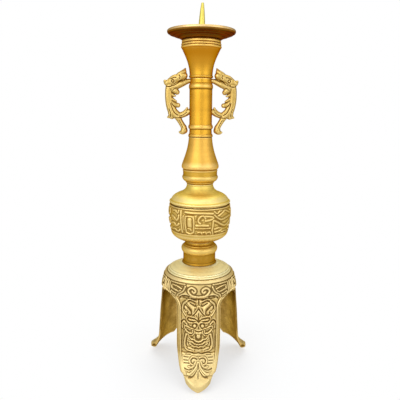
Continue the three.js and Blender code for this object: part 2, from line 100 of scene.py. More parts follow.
def calculate(tree, operation, *feeds, clamp=False):
    """What a Math node makes of numbers and outputs."""
    node = add_node(tree, "ShaderNodeMath", enumerate(feeds), operation=operation, use_clamp=clamp)
    return node.outputs[0]


def map_range(tree, value, low, high, start=0.0, end=1.0, kind="SMOOTHSTEP"):
    """Goes from start to end while the value goes from low to high."""
    feeds = {"Value": value, "From Min": low, "From Max": high, "To Min": start, "To Max": end}
    return add_node(tree, "ShaderNodeMapRange", feeds, interpolation_type=kind).outputs[0]


def object_place(tree):
    """Where a point of the surface lies on its object."""
    return add_node(tree, "ShaderNodeTexCoord").outputs["Object"]


def fresh_tree(owner):
    """The empty node tree of a material or a world."""
    owner.use_nodes = True
    owner.node_tree.nodes.clear()
    return owner.node_tree


def seen_rays(tree):
    """The eye's own rays, and a mask that is 1 for what the eye, a reflection or a glass sees."""
    path = add_node(tree, "ShaderNodeLightPath").outputs
    mirrored = calculate(tree, "MAXIMUM", path["Is Camera Ray"], path["Is Glossy Ray"])
    return path["Is Camera Ray"], calculate(tree, "MAXIMUM", mirrored, path["Is Transmission Ray"])


print("node helpers ready")

# %% The floor
FLOOR_HALF = 3.0  # metres


def floor_material():
    """Pale board near the object, white further off."""
    material = bpy.data.materials.new("pale floor")
    tree = fresh_tree(material)
    distance = add_node(tree, "ShaderNodeVectorMath", {0: object_place(tree)}, operation="LENGTH")
    far = map_range(tree, distance.outputs["Value"], 0.06, 0.19, 0.57, 1.0)
    board = add_node(tree, "ShaderNodeBsdfDiffuse", {"Color": (0.915, 0.93, 0.95, 1)})
    white = add_node(tree, "ShaderNodeEmission", {"Color": WHITE, "Strength": 1.0})
    share = calculate(tree, "MULTIPLY", far, seen_rays(tree)[1])
    mix = add_node(tree, "ShaderNodeMixShader", {0: share, 1: board.outputs[0], 2: white.outputs[0]})
    add_node(tree, "ShaderNodeOutputMaterial", {0: mix.outputs[0]})
    return material


def make_floor():
    mesh = bpy.data.meshes.new("floor")
    corners = [(x * FLOOR_HALF, y * FLOOR_HALF, 0) for x, y in ((-1, -1), (1, -1), (1, 1), (-1, 1))]
    mesh.from_pydata(corners, [], [(0, 1, 2, 3)])
    floor = bpy.data.objects.new("floor", mesh)
    floor.data.materials.append(floor_material())
    bpy.context.scene.collection.objects.link(floor)


make_floor()
print("floor laid at height 0")

# %% The lamps
def soft_lamp(name, place, towards, size, watts):
    """A large square lamp that faces a point of the object."""
    lamp = bpy.data.objects.new(name, bpy.data.lights.new(name, "AREA"))
    lamp.data.shape = "SQUARE"
    lamp.data.size = size
    lamp.data.energy = watts
    lamp.location = place
    lamp.rotation_euler = (Vector(towards) - Vector(place)).to_track_quat("-Z", "Y").to_euler()
    bpy.context.scene.collection.objects.link(lamp)
    print(name, "of", watts, "watts")


soft_lamp("left lamp", (-0.75, -1.25, 0.80), (0, 0, 0.2), 1.5, 10.0)
soft_lamp("right lamp", (1.05, -0.95, 0.60), (0, 0, 0.2), 1.2, 4.5)
soft_lamp("top lamp", (0.0, 0.2, 1.5), (0, 0, 0.1), 1.4, 9.0)

# %% The world
VIEWER_SIDE, FAR_SIDE = 0.92, 0.60  # how bright the metal sees the room
PLAIN_LIGHT = 0.63  # what the room adds to the lamps


def studio_world():
    """White for the eye, a shaded room for the metal, and a little light for everything else."""
    world = bpy.data.worlds.new("studio")
    tree = fresh_tree(world)
    eye, seen = seen_rays(tree)
    way = add_node(tree, "ShaderNodeTexCoord").outputs["Generated"]
    depth = add_node(tree, "ShaderNodeSeparateXYZ", {0: way}).outputs["Y"]
    room = calculate(tree, "MAXIMUM", map_range(tree, depth, -0.6, 0.6, VIEWER_SIDE, FAR_SIDE), eye)
    strength = add_node(tree, "ShaderNodeMix", {0: seen, 2: PLAIN_LIGHT, 3: room}, data_type="FLOAT")
    background = add_node(tree, "ShaderNodeBackground", {"Color": WHITE, "Strength": strength.outputs[0]})
    add_node(tree, "ShaderNodeOutputWorld", {0: background.outputs[0]})
    bpy.context.scene.world = world


studio_world()
bpy.context.scene.view_settings.view_transform = "Standard"
print("world ready")

# %% [markdown]
# ## Brass
# The cast parts, bell, drum and dragons, are antique gold: rubbed bright on whatever stands proud and brown
# where nobody's cloth reaches. The top of the bell gets a much lighter copy of that gold: painted light on
# the face that looks up to the lamps. The turned parts go from yellow to a deep orange, with the fine rings
# of the lathe. The underside of the pan is painted dark: painted shade under its rim. The spike is pale and
# nearly new.
# All of them need to know where the surface is hollow and where it stands out, so each piece stores that on
# its corners as a number called hollow, which is made from the shape itself. A node group turns it into
# masks, a second one makes cloudy tarnish and a third one the lathe's rings. One function mixes them with
# the colours of a finish. Further numbers on the corners, each with its own tint, paint light and shade into
# the colour: painted shade under overhangs, in the gaps between sections and inside the bell, thin lines of
# painted shade in grooves, and a painted highlight on the toes and the band.

# %% Group: worn and hollow places
def new_group(name, inputs, outputs):
    """An empty shader node group of plain numbers: inputs with their defaults, and the names of outputs."""
    group = bpy.data.node_groups.new(name, "ShaderNodeTree")
    for label, default in inputs.items():
        socket = group.interface.new_socket(label, in_out="INPUT", socket_type="NodeSocketFloat")
        socket.default_value = default
    for label in outputs:
        group.interface.new_socket(label, in_out="OUTPUT", socket_type="NodeSocketFloat")
    return group, group.nodes.new("NodeGroupInput").outputs


def noise(tree, place, scale, detail, roughness=0.5):
    """A cloudy number between 0 and 1."""
    feeds = {"Vector": place, "Scale": scale, "Detail": detail, "Roughness": roughness}
    return add_node(tree, "ShaderNodeTexNoise", feeds).outputs["Fac"]


def relief_wear_group():
    """Dark is 1 deep in a hollow, Bright is 1 on an edge that a cloth reaches."""
    group, given = new_group("relief wear", {"Reach": 0.35, "Ragged": 0.25}, ["Dark", "Bright"])
    shake = calculate(group, "SUBTRACT", noise(group, object_place(group), 260.0, 3.0), 0.5)
    hollow = add_node(group, "ShaderNodeAttribute", attribute_name="hollow").outputs["Fac"]
    ragged = calculate(group, "MULTIPLY_ADD", shake, given["Ragged"], hollow)
    proud = calculate(group, "MULTIPLY", ragged, -1.0)
    add_node(group, "NodeGroupOutput", {
        "Dark": map_range(group, ragged, 0.0, given["Reach"]),
        "Bright": map_range(group, proud, 0.14, given["Reach"])})
    return group


relief_wear = relief_wear_group()
print("group", relief_wear.name, "with", len(relief_wear.nodes), "nodes")

# %% Group: cloudy tarnish
def tarnish_group():
    """Soft clouds of tarnish and a finer mottling, both from 0 to 1."""
    inputs = {"Cloud Scale": 40.0, "Speck Scale": 420.0}
    group, given = new_group("tarnish clouds", inputs, ["Clouds", "Specks"])
    place = object_place(group)
    clouds = noise(group, place, given["Cloud Scale"], 5.0, 0.6)
    specks = noise(group, place, given["Speck Scale"], 2.0)
    add_node(group, "NodeGroupOutput", {
        "Clouds": map_range(group, clouds, 0.36, 0.66, kind="LINEAR"),
        "Specks": map_range(group, specks, 0.35, 0.65, kind="LINEAR")})
    return group


tarnish_clouds = tarnish_group()
print("group", tarnish_clouds.name, "with", len(tarnish_clouds.nodes), "nodes")

# %% Group: rings of the lathe
def lathe_group():
    """Fine rings round the column: a height for a Bump node, and a mask of slightly duller rings."""
    group, given = new_group("lathe rings", {"Pitch": 900.0}, ["Height", "Rings"])
    place = object_place(group)
    flat = add_node(group, "ShaderNodeVectorMath", {0: place, 1: (1, 1, 0)}, operation="MULTIPLY")
    across = add_node(group, "ShaderNodeVectorMath", {0: flat.outputs[0]}, operation="LENGTH")
    height = add_node(group, "ShaderNodeSeparateXYZ", {0: place}).outputs["Z"]
    turned = add_node(group, "ShaderNodeCombineXYZ", {
        "X": calculate(group, "MULTIPLY", across.outputs["Value"], given["Pitch"]),
        "Z": calculate(group, "MULTIPLY", height, given["Pitch"])}).outputs[0]
    add_node(group, "NodeGroupOutput", {
        "Height": noise(group, turned, 1.0, 2.0), "Rings": noise(group, turned, 0.22, 1.0)})
    return group


lathe_rings = lathe_group()
print("group", lathe_rings.name, "with", len(lathe_rings.nodes), "nodes")

# %% Mix a brass
BUMP_STRENGTH, BUMP_DISTANCE = 0.5, 0.0004
DULLER_IN_HOLLOWS = 0.25


def use_group(tree, group, **feeds):
    """The outputs of a group. An underscore stands for the blank in the name of an input."""
    feeds = {label.replace("_", " "): feed for label, feed in feeds.items()}
    return add_node(tree, "ShaderNodeGroup", feeds, node_tree=group).outputs


def blend_colour(tree, mask, first, second):
    """Goes from the first colour to the second with the mask. Either may be another node's output."""
    feeds = {0: mask}
    for number, colour in ((6, first), (7, second)):
        feeds[number] = (*colour, 1.0) if isinstance(colour, tuple) else colour
    return add_node(tree, "ShaderNodeMix", feeds, data_type="RGBA").outputs[2]


def weigh(tree, mask, amount, plus=0.0):
    """mask * amount + plus, kept between 0 and 1."""
    return calculate(tree, "MULTIPLY_ADD", mask, amount, plus, clamp=True)


def brass(name, main, clouded, rubbed, dark, smooth=0.26, dull=0.45, clouds=0.5, specks=0.25, darkness=0.9,
          shine=0.7, reach=0.35, rings=0.0, grain=0.10, cloud_scale=40.0, edge=(0.55, 0.38, 0.16),
          ragged=0.25, tints=()):
    """A brass of four colours: its main one, clouds of tarnish, rubbed edges and dark hollows.

    The edge colour darkens the rim of round forms. Each tint is the name of a mark and its colour.
    """
    material = bpy.data.materials.new(name)
    tree = fresh_tree(material)
    wear = use_group(tree, relief_wear, Reach=reach, Ragged=ragged)
    tarnish = use_group(tree, tarnish_clouds, Cloud_Scale=cloud_scale)
    lathe = use_group(tree, lathe_rings)
    coats = [(weigh(tree, tarnish["Clouds"], clouds), clouded),
             (weigh(tree, tarnish["Specks"], specks), clouded)]
    if rings:
        coats.append((weigh(tree, lathe["Rings"], 1.6 * rings, -0.65 * rings), dark))
    for label, tint in tints:
        coats.append((add_node(tree, "ShaderNodeAttribute", attribute_name=label).outputs["Fac"], tint))
    coats.append((weigh(tree, wear["Bright"], shine), rubbed))
    coats.append((weigh(tree, wear["Dark"], darkness), dark))
    colour = main
    for mask, coat in coats:
        colour = blend_colour(tree, mask, colour, coat)
    rough = map_range(tree, weigh(tree, tarnish["Clouds"], 0.7), 0.0, 1.0, smooth, dull, "LINEAR")
    grainy = calculate(tree, "MULTIPLY", tarnish["Specks"], grain)
    ringed = calculate(tree, "MULTIPLY_ADD", lathe["Height"], rings, grainy)
    bump = add_node(tree, "ShaderNodeBump", {
        "Strength": BUMP_STRENGTH, "Distance": BUMP_DISTANCE, "Height": ringed})
    shader = add_node(tree, "ShaderNodeBsdfPrincipled", {
        "Metallic": 1.0, "Specular Tint": (*edge, 1.0), "Base Color": colour,
        "Roughness": weigh(tree, wear["Dark"], DULLER_IN_HOLLOWS, rough), "Normal": bump.outputs[0]})
    add_node(tree, "ShaderNodeOutputMaterial", {0: shader.outputs[0]})
    print("mixed", name)
    return material

# %% Finishes of the cast parts
# Its tint is a painted highlight on the toes and on the band.
antique_gold = brass(
    "antique gold", main=(0.64, 0.46, 0.165), clouded=(0.50, 0.345, 0.11), rubbed=(0.88, 0.69, 0.33),
    dark=(0.17, 0.10, 0.025), smooth=0.42, dull=0.56, grain=0.35, darkness=0.85, edge=(0.42, 0.28, 0.10),
    tints=[("painted_highlight", (1.0, 0.88, 0.50))])
# The top of the bell is the same casting, given a much lighter copy of its gold: painted light on the face
# that looks up to the lamps.
plate_gold_painted_light = brass(
    "top of the bell in painted light", main=(1.0, 0.89, 0.49), clouded=(0.94, 0.79, 0.38), rubbed=(1.0, 0.94, 0.60),
    dark=(0.13, 0.07, 0.015), smooth=0.52, dull=0.70, rings=0.2, darkness=0.4, edge=(0.42, 0.28, 0.10))
# Its tint is painted shade along the top of the drum, in the gap under the cap.
drum_gold = brass(
    "drum gold", main=(0.70, 0.49, 0.14), clouded=(0.54, 0.35, 0.08), rubbed=(0.90, 0.68, 0.27),
    dark=(0.29, 0.17, 0.03), smooth=0.38, dull=0.52, grain=0.3, darkness=0.66,
    tints=[("painted_shade", (0.20, 0.11, 0.014))])
# Its tint is painted shade inside the bell, darker towards the crown of the arches.
inner_gold = brass(
    "inside of the bell", main=(0.74, 0.50, 0.14), clouded=(0.34, 0.20, 0.045), rubbed=(0.90, 0.66, 0.27),
    dark=(0.14, 0.07, 0.012), smooth=0.42, dull=0.62, clouds=0.8, specks=0.5, grain=0.6, cloud_scale=70.0,
    edge=(0.30, 0.19, 0.06), tints=[("painted_shade", (0.15, 0.08, 0.014))])
dragon_gold = brass(
    "dragon gold", main=(0.63, 0.43, 0.12), clouded=(0.47, 0.31, 0.08), rubbed=(0.90, 0.68, 0.27),
    dark=(0.16, 0.085, 0.015), smooth=0.36, dull=0.5, grain=0.2, darkness=0.75, shine=0.45)

# %% Finishes of the turned parts
on_the_lathe = {"rings": 0.3, "reach": 0.25}
# Its first tint is painted shade on the trumpet under the pan, its second thin lines of painted shade in
# grooves.
turned_gold = brass(
    "turned gold", main=(0.74, 0.40, 0.04), clouded=(0.62, 0.32, 0.028), rubbed=(0.90, 0.60, 0.17),
    dark=(0.22, 0.10, 0.01), smooth=0.38, dull=0.50, edge=(0.42, 0.24, 0.06), ragged=0.03, darkness=0.45,
    tints=[("painted_shade", (0.53, 0.22, 0.009)), ("groove_shade", (0.17, 0.07, 0.006))], **on_the_lathe)
# Its tint is painted shade on the cap: in the gap over the drum and under the moulded ring.
yellow_gold = brass(
    "yellow turned gold", main=(0.93, 0.71, 0.17), clouded=(0.84, 0.61, 0.13), rubbed=(0.98, 0.80, 0.35),
    dark=(0.24, 0.12, 0.02), smooth=0.48, dull=0.54, edge=(0.45, 0.3, 0.10), ragged=0.08,
    tints=[("painted_shade", (0.20, 0.11, 0.014))], **on_the_lathe)
foot_gold = brass(
    "foot of the stem", main=(0.80, 0.47, 0.09), clouded=(0.68, 0.38, 0.06), rubbed=(0.92, 0.64, 0.22),
    dark=(0.24, 0.12, 0.02), smooth=0.42, dull=0.54, edge=(0.45, 0.3, 0.10), ragged=0.08, **on_the_lathe)
# Its tint is painted shade on the collar, under its flange and under the broad drum.
stem_gold = brass(
    "old turned gold", main=(0.62, 0.37, 0.05), clouded=(0.52, 0.29, 0.035), rubbed=(0.86, 0.62, 0.20),
    dark=(0.20, 0.10, 0.015), smooth=0.40, dull=0.52, edge=(0.38, 0.24, 0.07), ragged=0.08,
    tints=[("painted_shade", (0.42, 0.22, 0.022))], **on_the_lathe)

# %% Finishes of the pan, the spike and the hidden clamp
pan_rim_brass = brass(
    "pan rim", main=(0.76, 0.50, 0.19), clouded=(0.58, 0.37, 0.12), rubbed=(0.84, 0.60, 0.28),
    dark=(0.16, 0.08, 0.02), smooth=0.34, dull=0.50, rings=0.2, cloud_scale=70.0, edge=(0.22, 0.13, 0.05))
# The dark underside of the pan is painted shade under its rim, and its tint adds lines of painted shade in
# the steps.
pan_underside_painted_shade = brass(
    "pan underside in painted shade", main=(0.26, 0.115, 0.014), clouded=(0.16, 0.066, 0.010), rubbed=(0.38, 0.19, 0.03),
    dark=(0.04, 0.02, 0.006), smooth=0.36, dull=0.55, rings=0.3, cloud_scale=70.0, edge=(0.4, 0.22, 0.08),
    tints=[("groove_shade", (0.10, 0.045, 0.007))])
pale_spike = brass(
    "pale spike", main=(0.74, 0.64, 0.15), clouded=(0.66, 0.53, 0.11), rubbed=(0.82, 0.73, 0.24),
    dark=(0.40, 0.26, 0.06), smooth=0.38, dull=0.5, rings=0.15, edge=(0.45, 0.38, 0.08))
plain_steel = brass(
    "plain steel", main=(0.24, 0.23, 0.21), clouded=(0.14, 0.12, 0.10), rubbed=(0.42, 0.41, 0.39),
    dark=(0.05, 0.04, 0.03), smooth=0.38, dull=0.6, grain=0.3, edge=(0.9, 0.9, 0.9))

# %% [markdown]
# ## Turned sections
# Turned parts could be made with Blender's Screw modifier on a drawn edge. Here the outline is written as
# numbers and spun in code, because the sections have to meet at exact heights and the drum's net is carved.
# An outline starts at the foot of a section, climbs its outside and comes back down its inside, so that
# each section is a closed wall with a hole for the tie rod. No turned edge is really sharp: every corner is
# eased by a fraction of a millimetre, and that is what catches the light.

# %% Draw an outline
def outline(start, *moves, steps=10):
    """Points of an outline. A tuple is a corner. A list is a curve: its control points, then its end."""
    points = [np.array(start, float)]
    for move in moves:
        if isinstance(move, tuple):
            points.append(np.array(move, float))
            continue
        t = np.linspace(0, 1, steps + 1)[1:, None]
        hull = [points[-1]] + [np.array(p, float) for p in move]
        while len(hull) > 1:
            hull = [a * (1 - t) + b * t for a, b in zip(hull, hull[1:])]
        points.extend(hull[0])
    return np.array(points)


def eased(points, radius=0.3, sharper_than=18.0):
    """A closed outline with its corners rounded off a little."""
    out = []
    for before, here, after in zip(np.roll(points, 1, 0), points, np.roll(points, -1, 0)):
        a, b = before - here, after - here
        la, lb = np.hypot(*a), np.hypot(*b)
        if min(la, lb) < 1e-6 or -(a @ b) / (la * lb) > math.cos(math.radians(sharper_than)):
            out.append(here)
            continue
        cut = min(radius, 0.45 * la, 0.45 * lb)
        first, last = here + a / la * cut, here + b / lb * cut
        for t in (0.0, 0.25, 0.5, 0.75, 1.0):
            out.append(first * (1 - t) ** 2 + here * 2 * t * (1 - t) + last * t * t)
    return np.array(out)


def filled(points, longest=1.0):
    """A closed outline with more points on its long straight stretches."""
    out = []
    for here, after in zip(points, np.roll(points, -1, 0)):
        count = max(1, math.ceil(np.hypot(*(after - here)) / longest))
        out.extend(here + (after - here) * k / count for k in range(count))
    return np.array(out)


print("a quarter round is drawn with", len(outline((0, 0), [(1, 0), (1, 1)])), "points")

# %% Spin an outline
def spin(points, sides=144):
    """Rings of corners round the axis and the quads between them, for an outline closed on itself."""
    angle = np.linspace(0, 2 * np.pi, sides, endpoint=False)
    r, z = points.T
    corners = np.stack([np.outer(r, np.cos(angle)), np.outer(r, np.sin(angle)),
                        np.repeat(z[:, None], sides, 1)], -1)
    ring, side = np.meshgrid(np.arange(len(points)) * sides, np.arange(sides), indexing="ij")
    next_ring, next_side = np.roll(ring, -1, 0), np.roll(side, -1, 1)
    quads = np.stack([ring + side, ring + next_side, next_ring + next_side, next_ring + side], -1)
    return corners.reshape(-1, 3), quads.reshape(-1, 4)


print("a triangle spun with 12 sides has", len(spin(np.eye(3, 2), 12)[1]), "faces")

# %% Measure how hollow the surface is
def read(items, label, width=3, kind=float):
    """One property of all corners or edges, as the rows of an array."""
    values = np.empty(len(items) * width, kind)
    items.foreach_get(label, values)
    return values.reshape(-1, width)


def store(mesh, label, values):
    """Keeps one number with every corner, where the materials can read it."""
    layer = mesh.attributes.new(label, "FLOAT", "POINT")
    layer.data.foreach_set("value", values.astype(np.float32))


def mark_hollows(mesh, rounds=7, scale=0.0002):
    """Stores on each corner how hollow the surface is there: above 0 in a dip, below 0 on an edge."""
    n = len(mesh.vertices)
    place = read(mesh.vertices, "co")
    normals = read(mesh.vertex_normals, "vector")
    a, b = read(mesh.edges, "vertices", 2, int).T
    count = np.maximum(np.bincount(a, minlength=n) + np.bincount(b, minlength=n), 1)[:, None]
    smooth = place.copy()
    for _ in range(rounds):
        total = np.stack([np.bincount(a, smooth[b, k], n) + np.bincount(b, smooth[a, k], n)
                          for k in range(3)], -1)
        smooth = 0.5 * smooth + 0.5 * total / count
    hollow = ((smooth - place) * normals).sum(1) / scale
    store(mesh, "hollow", np.clip(hollow, -1, 1))


print("pieces keep how hollow they are on their corners")

# %% Make a piece
def make_piece(name, corners, faces, finish, body, nodes, slot, crease=38.0, others=(), which=None):
    """A mesh object from corners in millimetres, which rides on the body and stands for the CAD nodes.

    others are further finishes, and which gives every face its finish, with 0 for the first one.
    """
    mesh = bpy.data.meshes.new(name)
    mesh.from_pydata((np.asarray(corners) * MM).tolist(), [], [list(map(int, f)) for f in faces])
    for material in (finish, *others):
        mesh.materials.append(material)
    if which is not None:
        mesh.polygons.foreach_set("material_index", np.array(which, np.int32))
    welded = bmesh.new()
    welded.from_mesh(mesh)
    bmesh.ops.remove_doubles(welded, verts=welded.verts, dist=1e-6)
    bmesh.ops.dissolve_degenerate(welded, dist=1e-7, edges=welded.edges)
    welded.to_mesh(mesh)
    welded.free()
    mesh.shade_smooth()
    mesh.set_sharp_from_angle(angle=math.radians(crease))
    mark_hollows(mesh)
    piece = bpy.data.objects.new(name, mesh)
    bpy.context.scene.collection.objects.link(piece)
    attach(piece, body)
    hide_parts(*nodes)
    print(name, "has", len(mesh.vertices), "corners and", len(mesh.polygons), "faces")
    return piece


def mark(piece, label, amount):
    """Keeps an amount from 0 to 1 with every corner, worked out from its height in millimetres."""
    values = amount(read(piece.data.vertices, "co", kind=np.float32)[:, 2] / MM)
    store(piece.data, label, values)
    print(piece.name, "has", label, "on", int((values > 0.1).sum()), "corners")

# %% Seats of the sections, from the floor up
SEAT_GAP = 0.3
section_heights = {"tripod": 126.2, "collar": 24.4, "drum": 42.9, "cap": 22.8, "moulded ring": 15.9,
                   "stem foot": 34.5, "neck": 61.4, "trumpet": 38.8}
seats = [0.0]
for section_height in section_heights.values():
    seats.append(seats[-1] + section_height + SEAT_GAP)
collar_seat, drum_seat, cap_seat, ring_seat, foot_seat, neck_seat, trumpet_seat, pan_seat = seats[1:]
print("seats at", [round(seat, 1) for seat in seats])

# %% Close an outline and turn a piece from it
ROD_HOLE, SPIGOT, BORE = 4.5, 7.2, 7.5
SPIGOT_FOOT = -3.5
spigot_line = [(ROD_HOLE, SPIGOT_FOOT), (SPIGOT, SPIGOT_FOOT), (SPIGOT, 0)]
core_line = [(BORE, 6.7), (ROD_HOLE, 3.2), *spigot_line]


def section(outside, inside=()):
    """The closed outline of a section. Its inside, from the top down, is a plain bore by default."""
    inside = inside or [(BORE, outside[-1][1])]
    return filled(eased(np.vstack([outside, inside, core_line])))


def turned_piece(name, node, loop, seat, finish, body="stand", sides=144, **more):
    """Spins a closed outline and sets it on its seat."""
    corners, faces = spin(loop, sides)
    corners[:, 2] += seat
    return make_piece(name, corners, faces, finish, body, [node], "turned_gold", **more)


def lines_at(seat, heights, width, depth=1.0):
    """Thin lines of painted shade round a piece, in its grooves and joints, at heights over its seat."""
    return lambda z: depth * sum(np.exp(-((z - seat - height) / width) ** 2) for height in heights)


print("a section stands on a spigot of", SPIGOT, "mm round a hole of", ROD_HOLE, "mm")

# %% The collar over the base
collar_outside = outline(
    (19.8, 0), [(18.8, 0.5), (18.4, 2.4)], (18.4, 11.9), (18.9, 12.2), [(20.6, 14.4), (20.6, 16.9)],
    [(20.4, 18.9), (18.6, 20.2)], (17.9, 20.5), (17.6, 21.4), [(15.3, 22.6), (15.2, 24.4)])
collar = turned_piece("turned_collar", "base_collar", section(collar_outside), collar_seat, stem_gold)
# Painted shade on the plain lower part of the collar, under its flange and the overhanging drum.
mark(collar, "painted_shade", lambda z: (z < collar_seat + 12.1) * 1.0)

# %% The moulded ring under the stem
ring_outside = outline(
    (14.7, 0), (15.9, 1.3), (15.9, 2.2), [(18.2, 3.0), (19.2, 5.0)], [(20.4, 6.8), (19.4, 8.7)],
    (18.9, 9.4), (18.9, 13.6), (19.4, 14.6), (18.6, 15.9))
turned_piece("moulded_ring", "stem_collar", section(ring_outside), ring_seat, stem_gold)

# %% The flared foot of the stem
foot_outside = outline(
    (19.0, 0), [(21.0, 0.8), (20.4, 4.2)], [(18.4, 11.0), (13.7, 20.0), (12.7, 34.5)], steps=24)
turned_piece("stem_foot", "lower_stem", section(foot_outside), foot_seat, foot_gold)

# %% The neck, with a pair of rings at each end
neck_outside = outline(
    (12.9, 0), [(13.4, 0.2), (13.4, 1.2)], [(13.2, 2.8), (12.3, 3.6)], (12.1, 8.6),
    [(13.2, 8.8), (13.4, 10.4)], [(13.4, 12.4), (12.3, 13.4)], (12.3, 50.4),
    [(12.8, 51.2), (12.96, 52.4)], (12.96, 53.6), [(12.6, 55.6), (11.4, 57.2)], (11.4, 61.4))
neck_tube = turned_piece("neck_tube", "neck", section(neck_outside), neck_seat, turned_gold)
# Thin lines of painted shade at the foot of the neck and in the corners under its rings.
mark(neck_tube, "groove_shade", lines_at(neck_seat, (0.1, 8.4, 50.5), 0.55))

# %% The trumpet, with three turned bands under its mouth
trumpet_outside = outline(
    (11.4, 0), [(12.4, 0.2), (12.9, 1.3)], (12.9, 2.0), (12.2, 2.9), (12.3, 4.6),
    [(12.8, 15.5), (17.0, 22.4), (20.6, 30.2)], [(21.6, 30.5), (21.6, 32.3), (20.9, 32.5)], (20.6, 32.9),
    [(21.4, 33.1), (21.3, 34.9), (20.5, 35.2)], (20.2, 35.6), [(20.9, 35.8), (20.9, 38.0), (19.9, 38.3)],
    (19.6, 38.8), steps=16)
trumpet_inside = [(17.2, 38.8), (14.1, 35.8), (14.1, 27.8), (11.6, 27.8), (BORE, 18.8)]
trumpet_flare = turned_piece(
    "trumpet_flare", "trumpet", section(trumpet_outside, trumpet_inside), trumpet_seat, turned_gold)
first_band = trumpet_seat + 30.4
# Painted shade on the trumpet, darker up to its first band, where the pan above shades it.
mark(trumpet_flare, "painted_shade", lambda z: np.clip((z - trumpet_seat - 5.0) / 19.0, 0, 1) * (z < first_band))
# Thin lines of painted shade in the grooves between the bands.
mark(trumpet_flare, "groove_shade", lines_at(trumpet_seat, (32.75, 35.4), 0.3, 0.6))

# %% The cap of the drum
cap_outside = outline(
    (27.2, -3.0), (27.2, 1.9), (32.8, 1.9), [(34.3, 2.1), (34.5, 3.9), (33.4, 4.4)], (32.4, 4.7),
    (32.1, 5.4), [(31.2, 8.3), (27.6, 11.1), (22.6, 12.9)], [(18.0, 14.6), (15.4, 17.2), (14.9, 20.2)],
    (14.7, 20.6), (14.7, 22.8), steps=20)
cap_inside = [(BORE, 22.8), (BORE, 14.1), (16.3, 7.8), (23.6, 1.8), (23.6, -3.5)]
cap_loop = filled(eased(np.vstack([cap_outside, cap_inside])))
drum_lid = turned_piece("drum_lid", "drum_cap", cap_loop, cap_seat, yellow_gold, sides=180)
# Painted shade at the foot of the cap, in the gap over the drum, and a little at its top, under the moulded
# ring.
mark(drum_lid, "painted_shade", lambda z: (z < cap_seat + 2.0) + 0.3 * np.clip((z - cap_seat - 18.5) / 3.0, 0, 1))

# %% The pan, painted dark below its rim as painted shade
PAN_SIDES = 180
pan_loop = filled(eased(outline(
    (6.3, 0), (21.3, 0), (24.6, 1.9), (24.9, 2.3), (29.2, 3.2), (29.5, 3.6), (33.6, 4.8), (33.9, 5.1),
    (35.2, 5.8), [(35.8, 6.2), (36.0, 7.4)], [(36.0, 9.0), (35.0, 9.2)], (33.8, 8.8),
    [(32.5, 5.8), (29.3, 4.7)], (21.3, 2.2), (6.3, 2.2)), 0.2))
rim_start = int(np.argmax(pan_loop[:, 0] > 35.85))
below_rim = np.repeat(np.arange(len(pan_loop)) < rim_start, PAN_SIDES)
pan_dish = turned_piece("pan_dish", "drip_pan", pan_loop, pan_seat, pan_rim_brass, "pan", PAN_SIDES,
                        others=[pan_underside_painted_shade], which=below_rim)
# Lines of painted shade in the steps under the rim.
mark(pan_dish, "groove_shade", lines_at(pan_seat, (1.9, 3.5, 5.0), 0.25))

# %% The spike, which leans a little
FOOT_TOP, SPIKE_LENGTH = 5.2, 32.5
TIP = FOOT_TOP + SPIKE_LENGTH
LEAN, BEND_HEIGHT = 0.03, 8.0
spike_loop = filled(eased(outline(
    (0.0, 6.5), (4.3, 5.0), (4.3, 0), (6.0, 0), (6.0, FOOT_TOP - 0.6), (5.4, FOOT_TOP), (3.7, FOOT_TOP),
    [(3.3, FOOT_TOP + SPIKE_LENGTH * 0.6), (1.25, TIP - 0.4)], (0.0, TIP), steps=24), 0.2))
corners, faces = spin(spike_loop, 72)
corners[:, 0] += LEAN * np.clip(corners[:, 2] - BEND_HEIGHT, 0, None)
corners[:, 2] += pan_seat - 1.0
make_piece("spike", corners, faces, pale_spike, "stand", ["pricket"], "pale_brass")

# %% [markdown]
# ## Tools for carving
# The relief on the bell and on the drum is a height in millimetres that is added to each corner of a fine
# net. A sculpt brush could draw it, but then nobody could read how it was done. So it is drawn with four
# tools that a wax carver would know: a round cord laid on, a groove cut in, a boss set on, and a field
# that is lowered as a whole. Every line is a few points, made smooth. The lines of the bell are drawn on one
# side of a leg and mirrored.

# %% The carver's tools
LINE_SPREAD = 1.35  # a line runs out at so many half-widths
FAR_AWAY = 99.0


def flow(points, steps=8):
    """A smooth line (Catmull-Rom) through the points, in any number of dimensions."""
    p = np.array(points, float)
    p = np.vstack([2 * p[0] - p[1], p, 2 * p[-1] - p[-2]])
    t = np.linspace(0, 1, steps, endpoint=False)[:, None]
    out = []
    for a, b, c, d in zip(p, p[1:], p[2:], p[3:]):
        out.append(0.5 * (2 * b + (c - a) * t + (2 * a - 5 * b + 4 * c - d) * t ** 2
                          + (3 * b - a - 3 * c + d) * t ** 3))
    return np.vstack([*out, p[-2:-1]])


def away_from(line, x, z):
    """How far each corner lies from a bent line."""
    nearest = np.full(x.shape, FAR_AWAY)
    for (ax, az), (bx, bz) in zip(line[:-1], line[1:]):
        dx, dz = bx - ax, bz - az
        part = np.clip(((x - ax) * dx + (z - az) * dz) / max(dx * dx + dz * dz, 1e-9), 0, 1)
        nearest = np.minimum(nearest, np.hypot(x - ax - part * dx, z - az - part * dz))
    return nearest


def round_top(away):
    """1 in the middle, and down to 0 where away is 1."""
    return 0.5 + 0.5 * np.cos(np.pi * np.clip(away, 0, 1))


def drawn(lines, x, z):
    """The lines laid side by side: 1 along the middle of each, 0 where its sides run out."""
    height = np.zeros(x.shape)
    for half, points in lines.values():
        away = away_from(flow(points, 5), x, z)
        height = np.maximum(height, round_top(away / (LINE_SPREAD * half)))
    return height


def bosses(round_forms, x, z):
    """Round bosses, each (middle, radius, height)."""
    height = np.zeros(x.shape)
    for (bx, bz), radius, rise in round_forms.values():
        away = np.hypot(x - bx, z - bz) / radius
        height = np.maximum(height, rise * np.sqrt(np.clip(1 - away ** 2, 0, None)))
    return height


